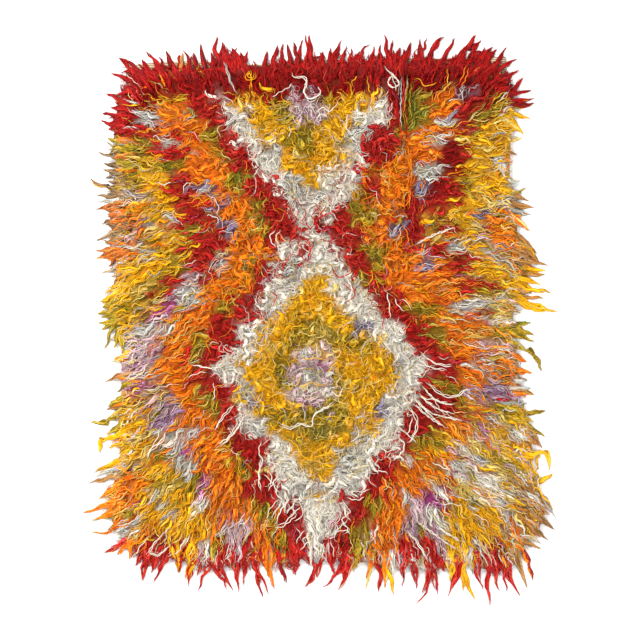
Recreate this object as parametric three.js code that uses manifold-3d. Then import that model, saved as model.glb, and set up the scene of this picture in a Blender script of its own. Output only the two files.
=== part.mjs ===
// A small tulu rug lying flat: a thin woven ground, and the long shaggy pile that is knotted into it.
// Millimetres. +Z is up and +Y points to the rug's far end, the one with the broad red band.
// The origin is on the floor under the rug's middle.

import * as THREE from 'three';
import { mergeVertices } from 'three/addons/utils/BufferGeometryUtils.js';
import Module from 'manifold-3d';

const wasm = await Module();
wasm.setup();

// Driving sizes of the ground, the flat woven cloth.
const GROUND_THICKNESS = 3;
const GROUND_STEPS = 22;
const GROUND_WAVER = 4;
const GROUND_WAVER_RUN = 19;
const GROUND_WAVER_SHIFT = 2.3;
const FIT_GAP = 0.3;

// Driving sizes of the pile. Its rim height is the height of its upright edge.
const PILE_HEIGHT = 45;
const RIM_HEIGHT = 14;
const RIM_WIDTH = 85;
const PILE_COLUMNS = 28;
const PILE_ROWS = 34;

// Driving sizes of one lock. It lies level on the floor past its landing, with more stations at
// these shares of its level length. Each lock's width, its lift at the root and its place along the
// side, as a share of its step, lie between a low and a high value.
const LOCK_WIDTH = { low: 16.15, high: 21.85 };
const LOCK_HEIGHT = 11;
const ROOT_DEPTH = 16;
const ROOT_LIFT = { low: 4, high: 7 };
const ROOT_PLACE = { low: 0.3, high: 0.7 };
const LANDING = 11;
const LEVEL_STATIONS = [0, 0.35, 0.7];
const SHORTEST_TIP = 16;
const EDGE_CLEARANCE = 6;
const EDGE_STEP = 1;
const TAPER = 1.25;

// Corners of the woven ground. It is a little wider at its near end, as hand weaving is.
const GROUND_CORNERS = {
  farLeft: { x: -556, y: 708 },
  farRight: { x: 534, y: 732 },
  nearRight: { x: 572, y: -690 },
  nearLeft: { x: -566, y: -680 },
};

// The pile's edge, side by side. The far side stops short of the ground's edge, and on the other
// sides the pile hangs over it. The far and near sides run from left to right, the others from far to near.
const PILE_SIDES = {
  far: [
    { x: -538, y: 682 },
    { x: -270, y: 702 },
    { x: 0, y: 706 },
    { x: 290, y: 714 },
    { x: 512, y: 700 },
  ],
  right: [
    { x: 512, y: 700 },
    { x: 552, y: 560 },
    { x: 562, y: 300 },
    { x: 600, y: 60 },
    { x: 572, y: -230 },
    { x: 616, y: -450 },
    { x: 610, y: -600 },
    { x: 560, y: -728 },
  ],
  near: [
    { x: -520, y: -694 },
    { x: -280, y: -716 },
    { x: 0, y: -724 },
    { x: 300, y: -746 },
    { x: 560, y: -728 },
  ],
  left: [
    { x: -538, y: 682 },
    { x: -592, y: 520 },
    { x: -592, y: 270 },
    { x: -612, y: 30 },
    { x: -572, y: -210 },
    { x: -590, y: -400 },
    { x: -592, y: -600 },
    { x: -520, y: -694 },
  ],
};

// Soft lumps of the pile: the length of each wave, the way it runs in degrees, and its height.
const LUMPS = [
  { length: 330, heading: 24, shift: 0.4, height: 2.8 },
  { length: 214, heading: 102, shift: 2.1, height: 3.0 },
  { length: 158, heading: 157, shift: 4.3, height: 3.2 },
  { length: 127, heading: 62, shift: 1.2, height: 3.4 },
];

// The parting in the pile, a soft trough that runs from the far band towards the middle.
const PARTING = { x: 250, farEnd: 670, nearEnd: 150, fade: 60, width: 34, depth: 11 };

// Locks at the rim. outward is the way that the side faces, in degrees from +X. The lean, also in
// degrees, goes from its start to its end along the side, so that the locks fan out at the corners.
const LOCK_SIDES = [
  { side: 'far', outward: 90, count: 46, leanStart: 24, leanEnd: -20, shortest: 40, longest: 82, seed: 3 },
  { side: 'right', outward: 0, count: 48, leanStart: 12, leanEnd: -34, shortest: 30, longest: 76, seed: 11 },
  { side: 'near', outward: 270, count: 46, leanStart: -27, leanEnd: 18, shortest: 48, longest: 104, seed: 23 },
  { side: 'left', outward: 180, count: 48, leanStart: -14, leanEnd: 24, shortest: 26, longest: 74, seed: 37 },
];
const LEAN_WAVE = 9;
const LEAN_WAVE_STEP = 0.9;
const LOCK_BEND = 44;

// Points closer than this are one point, and a cut reaches this far past the floor.
const WELD = 1e-4;
const CUT_MARGIN = 1;

// Uneven but repeatable: a number from 0 to 1 for each whole number given.
const UNEVEN_RUN = 12.9898;
const UNEVEN_SCALE = 43758.5453;
const CHANCES_PER_LOCK = 7;
function uneven(index) {
  const wave = Math.sin(index * UNEVEN_RUN) * UNEVEN_SCALE;
  return wave - Math.floor(wave);
}

// A closed geometry as a solid that can be joined and cut.
function toSolid(geometry) {
  const bare = geometry.clone();
  bare.deleteAttribute('normal');
  bare.deleteAttribute('uv');
  const merged = mergeVertices(bare, WELD);
  return new wasm.Manifold(new wasm.Mesh({
    numProp: 3,
    vertProperties: new Float32Array(merged.attributes.position.array),
    triVerts: new Uint32Array(merged.index.array),
  }));
}

// A solid back as a geometry.
function toGeometry(solid) {
  const mesh = solid.getMesh();
  const geometry = new THREE.BufferGeometry();
  geometry.setAttribute('position', new THREE.BufferAttribute(mesh.vertProperties, 3));
  geometry.setIndex(new THREE.BufferAttribute(mesh.triVerts, 1));
  geometry.computeVertexNormals();
  return geometry;
}

// A geometry from a list of points and a list of triangles.
function fromFaces(points, triangles) {
  const geometry = new THREE.BufferGeometry();
  geometry.setAttribute('position', new THREE.Float32BufferAttribute(points.flatMap((p) => [p.x, p.y, p.z]), 3));
  geometry.setIndex(triangles.flat());
  return geometry;
}

// The ground's outline: four nearly straight sides, each wavering as a selvedge does.
function groundOutline(outset) {
  const corners = Object.values(GROUND_CORNERS).map((corner) => new THREE.Vector2(corner.x, corner.y));
  const points = [];
  corners.forEach((start, side) => {
    const end = corners[(side + 1) % corners.length];
    const along = end.clone().sub(start);
    const outward = new THREE.Vector2(-along.y, along.x).normalize();
    for (let step = 0; step < GROUND_STEPS; step += 1) {
      const share = step / GROUND_STEPS;
      const swell = Math.sin(Math.PI * share);
      const waver = GROUND_WAVER * swell * Math.sin(share * GROUND_WAVER_RUN + side * GROUND_WAVER_SHIFT);
      points.push(start.clone().addScaledVector(along, share).addScaledVector(outward, waver));
    }
  });
  return points.map((point, index) => {
    const before = points[(index + points.length - 1) % points.length];
    const after = points[(index + 1) % points.length];
    const along = after.clone().sub(before);
    const outward = new THREE.Vector2(-along.y, along.x).normalize();
    return point.clone().addScaledVector(outward, outset);
  });
}

// The ground, or with an outset and a height the space that it takes under the pile.
function groundGeometry(outset, height) {
  const shape = new THREE.Shape(groundOutline(outset));
  return new THREE.ExtrudeGeometry(shape, { depth: height, bevelEnabled: false });
}

// Whether a place lies on the ground as seen from above.
const groundEdge = groundOutline(EDGE_CLEARANCE);
function overGround(place) {
  let inside = false;
  groundEdge.forEach((start, index) => {
    const end = groundEdge[(index + 1) % groundEdge.length];
    const crosses = (start.y > place.y) !== (end.y > place.y);
    if (crosses && place.x < start.x + ((end.x - start.x) * (place.y - start.y)) / (end.y - start.y)) {
      inside = !inside;
    }
  });
  return inside;
}

// The pile's four sides as smooth curves.
const pileSides = Object.fromEntries(Object.entries(PILE_SIDES).map(([name, points]) => {
  const places = points.map((point) => new THREE.Vector3(point.x, point.y, 0));
  return [name, new THREE.CatmullRomCurve3(places, false, 'centripetal')];
}));

// A place on the pile from its shares across and along, each from 0 to 1, blended from the four sides.
function pilePlace(across, along) {
  const far = pileSides.far.getPointAt(across);
  const near = pileSides.near.getPointAt(across);
  const left = pileSides.left.getPointAt(1 - along);
  const right = pileSides.right.getPointAt(1 - along);
  const farLeft = pileSides.far.getPointAt(0);
  const farRight = pileSides.far.getPointAt(1);
  const nearLeft = pileSides.near.getPointAt(0);
  const nearRight = pileSides.near.getPointAt(1);
  const place = new THREE.Vector3();
  place.addScaledVector(near, 1 - along).addScaledVector(far, along);
  place.addScaledVector(left, 1 - across).addScaledVector(right, across);
  place.addScaledVector(nearLeft, -(1 - across) * (1 - along)).addScaledVector(nearRight, -across * (1 - along));
  place.addScaledVector(farLeft, -(1 - across) * along).addScaledVector(farRight, -across * along);
  return place;
}

// The pile's width and length between its sides, for its distance to the nearest edge.
const PILE_WIDTH = PILE_SIDES.right[0].x - PILE_SIDES.left[0].x;
const PILE_LENGTH = PILE_SIDES.far[0].y - PILE_SIDES.near[0].y;

// The pile's height above the floor: round at the rim, lumpy, and lower in the parting.
function pileHeight(place, across, along) {
  const inset = Math.min(Math.min(across, 1 - across) * PILE_WIDTH, Math.min(along, 1 - along) * PILE_LENGTH);
  const reach = Math.min(1, inset / RIM_WIDTH);
  const round = Math.sqrt(1 - (1 - reach) ** 2);
  let lumps = 0;
  LUMPS.forEach((lump) => {
    const heading = THREE.MathUtils.degToRad(lump.heading);
    const run = place.x * Math.cos(heading) + place.y * Math.sin(heading);
    lumps += lump.height * Math.sin((2 * Math.PI * run) / lump.length + lump.shift);
  });
  const aside = (place.x - PARTING.x) / PARTING.width;
  const { nearEnd, farEnd, fade } = PARTING;
  const within = THREE.MathUtils.smoothstep(place.y, nearEnd - fade, nearEnd + fade)
    - THREE.MathUtils.smoothstep(place.y, farEnd - fade, farEnd + fade);
  const trough = PARTING.depth * within * Math.exp(-aside * aside);
  return RIM_HEIGHT + (PILE_HEIGHT - RIM_HEIGHT + lumps - trough) * round;
}

// The pile as a lumpy slab. Its underside is flat on the floor, before the ground's space is cut from it.
function slabGeometry() {
  const points = [];
  const triangles = [];
  for (let row = 0; row <= PILE_ROWS; row += 1) {
    for (let column = 0; column <= PILE_COLUMNS; column += 1) {
      const across = column / PILE_COLUMNS;
      const along = row / PILE_ROWS;
      const place = pilePlace(across, along);
      place.z = pileHeight(place, across, along);
      points.push(place);
    }
  }
  const wide = PILE_COLUMNS + 1;
  for (let row = 0; row < PILE_ROWS; row += 1) {
    for (let column = 0; column < PILE_COLUMNS; column += 1) {
      const corner = row * wide + column;
      triangles.push([corner, corner + 1, corner + wide + 1]);
      triangles.push([corner, corner + wide + 1, corner + wide]);
    }
  }
  const rim = [];
  for (let column = 0; column < PILE_COLUMNS; column += 1) rim.push(column);
  for (let row = 0; row < PILE_ROWS; row += 1) rim.push(row * wide + PILE_COLUMNS);
  for (let column = PILE_COLUMNS; column > 0; column -= 1) rim.push(PILE_ROWS * wide + column);
  for (let row = PILE_ROWS; row > 0; row -= 1) rim.push(row * wide);
  const foot = points.length;
  rim.forEach((index) => points.push(new THREE.Vector3(points[index].x, points[index].y, 0)));
  rim.forEach((index, step) => {
    const next = (step + 1) % rim.length;
    triangles.push([index, foot + step, foot + next]);
    triangles.push([index, foot + next, rim[next]]);
  });
  const underside = rim.map((index) => new THREE.Vector2(points[index].x, points[index].y));
  THREE.ShapeUtils.triangulateShape(underside, []).forEach(([a, b, c]) => {
    triangles.push([foot + c, foot + b, foot + a]);
  });
  return fromFaces(points, triangles);
}

// One lock: a tapering strand of three sides, flat below and ridged above. It leaves the rim a
// little above the floor, comes down past the edges that it crosses, and lies level to its tip.
function lockGeometry({ root, heading, bend, reach, width, lift }) {
  const path = (distance) => {
    const turn = THREE.MathUtils.degToRad(heading + (bend * distance) / reach);
    return { turn, x: root.x + Math.cos(turn) * distance, y: root.y + Math.sin(turn) * distance };
  };
  let edge = ROOT_DEPTH + EDGE_CLEARANCE;
  while (overGround(path(edge))) edge += EDGE_STEP;
  const landed = edge + LANDING;
  const length = Math.max(reach, landed + SHORTEST_TIP);
  const rest = length - landed;
  const stations = [
    { distance: 0, below: lift },
    { distance: edge, below: Math.min(lift, GROUND_THICKNESS + 2 * FIT_GAP) },
    ...LEVEL_STATIONS.map((share) => ({ distance: landed + rest * share, below: 0 })),
  ];
  const points = [];
  const triangles = [];
  stations.forEach(({ distance, below }) => {
    const { turn, x, y } = path(distance);
    const thin = 1 - (distance / length) ** TAPER;
    const half = (width / 2) * thin;
    const aside = new THREE.Vector3(-Math.sin(turn), Math.cos(turn), 0);
    const middle = new THREE.Vector3(x, y, below);
    points.push(middle.clone().addScaledVector(aside, half));
    points.push(middle.clone().addScaledVector(aside, -half));
    points.push(middle.clone().setZ(below + LOCK_HEIGHT * thin));
  });
  const tip = path(length);
  points.push(new THREE.Vector3(tip.x, tip.y, 0));
  triangles.push([0, 1, 2]);
  for (let ring = 0; ring < stations.length - 1; ring += 1) {
    for (let corner = 0; corner < 3; corner += 1) {
      const here = ring * 3 + corner;
      const beside = ring * 3 + ((corner + 1) % 3);
      triangles.push([here, here + 3, beside + 3]);
      triangles.push([here, beside + 3, beside]);
    }
  }
  const last = (stations.length - 1) * 3;
  for (let corner = 0; corner < 3; corner += 1) {
    triangles.push([last + corner, points.length - 1, last + ((corner + 1) % 3)]);
  }
  return fromFaces(points, triangles);
}

// All the locks of one side, spread along its curve.
function sideLocks({ side, outward, count, leanStart, leanEnd, shortest, longest, seed }) {
  const locks = [];
  for (let index = 0; index < count; index += 1) {
    const chance = (offset) => uneven(seed + index * CHANCES_PER_LOCK + offset);
    const between = ({ low, high }, offset) => THREE.MathUtils.lerp(low, high, chance(offset));
    const share = (index + between(ROOT_PLACE, 1)) / count;
    const edge = pileSides[side].getPointAt(share);
    const wave = LEAN_WAVE * Math.sin(index * LEAN_WAVE_STEP + seed);
    const heading = outward + THREE.MathUtils.lerp(leanStart, leanEnd, share) + wave;
    const turn = THREE.MathUtils.degToRad(heading);
    const inward = new THREE.Vector3(Math.cos(turn), Math.sin(turn), 0).multiplyScalar(-ROOT_DEPTH);
    locks.push(lockGeometry({
      root: edge.clone().add(inward),
      heading,
      bend: LOCK_BEND * (chance(2) - 0.5),
      reach: ROOT_DEPTH + between({ low: shortest, high: longest }, 3),
      width: between(LOCK_WIDTH, 4),
      lift: between(ROOT_LIFT, 5),
    }));
  }
  return locks;
}

// The pile: the slab joined with its locks, and the ground's space cut from below.
function pileGeometry() {
  let pile = toSolid(slabGeometry());
  LOCK_SIDES.flatMap(sideLocks).forEach((lock) => {
    pile = pile.add(toSolid(lock));
  });
  const space = groundGeometry(FIT_GAP, GROUND_THICKNESS + FIT_GAP + CUT_MARGIN);
  space.translate(0, 0, -CUT_MARGIN);
  return toGeometry(pile.subtract(toSolid(space)));
}

const rug = new THREE.Group();

const ground = new THREE.Mesh(
  groundGeometry(0, GROUND_THICKNESS),
  new THREE.MeshStandardMaterial({ color: 0xcbb893, roughness: 0.95, metalness: 0 }),
);
ground.name = 'woven_ground';
rug.add(ground);

const pile = new THREE.Mesh(
  pileGeometry(),
  new THREE.MeshStandardMaterial({ color: 0xc8702c, roughness: 0.8, metalness: 0 }),
);
pile.name = 'shag_pile';
rug.add(pile);

export default rug;
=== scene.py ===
"""A small tulu rug lying on a pale floor: its woven ground, and the long mohair locks knotted into it.

Metres. +Z is up and +Y points to the rug's far end, the one with the broad red band.
"""

import math
from collections import namedtuple

import bpy
import numpy as np
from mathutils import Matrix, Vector


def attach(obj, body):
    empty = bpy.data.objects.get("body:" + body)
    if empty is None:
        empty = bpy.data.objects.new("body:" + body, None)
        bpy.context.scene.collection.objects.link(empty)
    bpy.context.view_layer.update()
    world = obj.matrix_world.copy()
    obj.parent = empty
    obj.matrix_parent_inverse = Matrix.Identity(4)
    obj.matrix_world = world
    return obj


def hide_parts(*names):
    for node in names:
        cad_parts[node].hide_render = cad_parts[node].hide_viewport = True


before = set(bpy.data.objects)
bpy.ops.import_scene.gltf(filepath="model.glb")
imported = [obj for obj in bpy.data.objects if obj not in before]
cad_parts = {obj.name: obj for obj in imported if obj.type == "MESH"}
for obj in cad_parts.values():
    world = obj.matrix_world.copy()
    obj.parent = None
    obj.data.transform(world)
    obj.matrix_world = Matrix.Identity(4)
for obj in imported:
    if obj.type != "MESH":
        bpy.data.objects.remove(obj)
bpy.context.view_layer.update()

SEED = 41
dice = np.random.default_rng(SEED)

# A turn in radians, the shifts that a wave may have, a number that keeps a division away from 0, and one
# that is more than any distance or share on the rug.
FULL_TURN = 2 * math.pi
ANY_SHIFT = (0, 6.28)
TINY = 1e-9
FAR_AWAY = 9.0

# The photograph's scale: the rug's metres to one pixel, and the pixel that lies over the origin.
PIXEL = 0.00284
ORIGIN_X = 320
ORIGIN_Y = 312
IMAGE_SIZE = 640


def from_pixel(px, py):
    """The place on the rug, in metres, under a pixel of the photograph."""
    return (np.asarray(px, float) - ORIGIN_X) * PIXEL, (ORIGIN_Y - np.asarray(py, float)) * PIXEL


def to_pixel(x, y):
    """The pixel of the photograph over a place on the rug."""
    return x / PIXEL + ORIGIN_X, ORIGIN_Y - y / PIXEL


def line_from_pixels(points):
    """A line of places on the rug, from its points in pixels."""
    return np.column_stack(from_pixel(*np.array(points).T))


def named_rows(kind, table):
    """A table by wool, with each of its rows as a named tuple."""
    return {wool: [kind(*row) for row in rows] for wool, rows in table.items()}


# The wools, each with its dark tone, used as painted shade, its middle tone, its light tone, used as painted
# highlight, and the tone of its dabs, as sRGB levels from 0 to 255.
Wool = namedtuple("Wool", "dark middle light dab")
WOOLS = {
    "crimson": Wool((80, 0, 2), (150, 6, 4), (186, 28, 18), (120, 4, 4)),
    "red": Wool((104, 4, 4), (186, 24, 18), (224, 88, 70), (158, 12, 12)),
    "orange": Wool((148, 54, 0), (240, 112, 4), (252, 162, 52), (230, 144, 18)),
    "gold": Wool((146, 96, 2), (244, 174, 2), (254, 212, 54), (208, 152, 10)),
    "olive": Wool((80, 66, 8), (154, 126, 22), (196, 174, 72), (190, 150, 22)),
    "straw": Wool((156, 126, 52), (224, 194, 100), (246, 230, 164), (204, 172, 78)),
    "white": Wool((186, 178, 160), (230, 223, 208), (242, 238, 228), (212, 205, 192)),
    "grey": Wool((118, 114, 104), (186, 184, 172), (228, 228, 218), (160, 163, 163)),
    "indigo": Wool((64, 54, 78), (124, 112, 144), (188, 180, 196), (156, 146, 154)),
    "mauve": Wool((136, 96, 104), (200, 168, 170), (234, 218, 212), (186, 154, 166)),
    "purple": Wool((98, 58, 92), (158, 118, 152), (206, 182, 200), (182, 162, 172)),
    "magenta": Wool((116, 20, 78), (168, 58, 126), (222, 168, 198), (196, 134, 166)),
    # Tan is kept dark partly as painted shade, and brown is painted shade: both darken the rims, most of all
    # the left one, which the key lamp lights brightly.
    "tan": Wool((98, 64, 26), (166, 114, 58), (206, 164, 112), (172, 120, 54)),
    "shade_brown": Wool((58, 40, 22), (122, 92, 60), (176, 152, 122), (142, 104, 58)),
    "moss": Wool((58, 60, 8), (118, 122, 28), (176, 176, 84), (146, 132, 30)),
    "rust": Wool((96, 44, 10), (190, 96, 22), (216, 148, 84), (158, 92, 46)),
}
WOOL_NAMES = list(WOOLS)

# What else is spun in beside each wool: the wools of the thin strands over a lock of that wool.
COMPANIONS = {
    "crimson": {"crimson": 0.93, "red": 0.07},
    "red": {"red": 0.79, "crimson": 0.12, "orange": 0.05, "white": 0.03, "magenta": 0.01},
    "orange": {"orange": 0.58, "gold": 0.12, "straw": 0.12, "tan": 0.10, "red": 0.05, "grey": 0.03},
    "gold": {"gold": 0.64, "straw": 0.20, "olive": 0.10, "orange": 0.04, "grey": 0.02},
    "olive": {"olive": 0.52, "moss": 0.14, "straw": 0.14, "gold": 0.18, "grey": 0.02},
    "moss": {"moss": 0.8, "olive": 0.15, "straw": 0.05},
    "shade_brown": {"shade_brown": 0.5, "tan": 0.2, "grey": 0.2, "olive": 0.1},
    "rust": {"rust": 0.6, "tan": 0.2, "orange": 0.2},
    "straw": {"straw": 1.0},
    "white": {"white": 0.80, "grey": 0.10, "straw": 0.07, "mauve": 0.03},
    "grey": {"grey": 0.42, "white": 0.40, "straw": 0.06, "indigo": 0.06, "mauve": 0.06},
    "indigo": {"indigo": 0.5, "grey": 0.25, "white": 0.15, "purple": 0.1},
    "mauve": {"mauve": 0.55, "white": 0.25, "magenta": 0.12, "grey": 0.08},
    "purple": {"purple": 0.55, "mauve": 0.25, "grey": 0.1, "white": 0.1},
    "magenta": {"magenta": 0.45, "mauve": 0.35, "white": 0.2},
    "tan": {"tan": 0.5, "orange": 0.25, "grey": 0.15, "gold": 0.1},
}
COMPANION_CHANCES = np.array([[COMPANIONS[wool].get(other, 0.0) for other in WOOLS] for wool in WOOLS])

# The lozenges of the rug's pattern, in pixels: the middle of each, and its reach to its four corners.
Lozenge = namedtuple("Lozenge", "x y left right up down")
LOZENGES = [
    Lozenge(x=321, y=368, left=106, right=109, up=131, down=181),
    Lozenge(x=300, y=93, left=95, right=95, up=142, down=142),
]

# The rings of a lozenge, from its middle outwards. reach is the ring's outer edge as a share of the lozenge.
Ring = namedtuple("Ring", "reach wools")
RINGS = [
    Ring(0.2, {"mauve": 0.45, "white": 0.28, "grey": 0.12, "gold": 0.1, "straw": 0.05}),
    Ring(0.48, {"gold": 0.54, "olive": 0.32, "straw": 0.1, "mauve": 0.04}),
    Ring(0.76, {"gold": 0.74, "olive": 0.12, "straw": 0.14}),
    Ring(1.0, {"white": 0.84, "grey": 0.14, "gold": 0.02}),
    Ring(1.24, {"red": 0.92, "orange": 0.05, "white": 0.03}),
    Ring(1.42, {"olive": 0.42, "orange": 0.38, "red": 0.2}),
    Ring(1.72, {"orange": 0.7, "olive": 0.2, "indigo": 0.1}),
    Ring(1.98, {"red": 0.25, "orange": 0.25, "olive": 0.2, "grey": 0.15, "indigo": 0.1, "white": 0.05}),
    Ring(2.45, {"gold": 0.44, "olive": 0.18, "grey": 0.08, "orange": 0.1, "mauve": 0.07, "straw": 0.13}),
    Ring(
        FAR_AWAY,
        {"gold": 0.32, "orange": 0.2, "olive": 0.15, "grey": 0.08, "tan": 0.1, "mauve": 0.06, "straw": 0.09},
    ),
]

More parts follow.
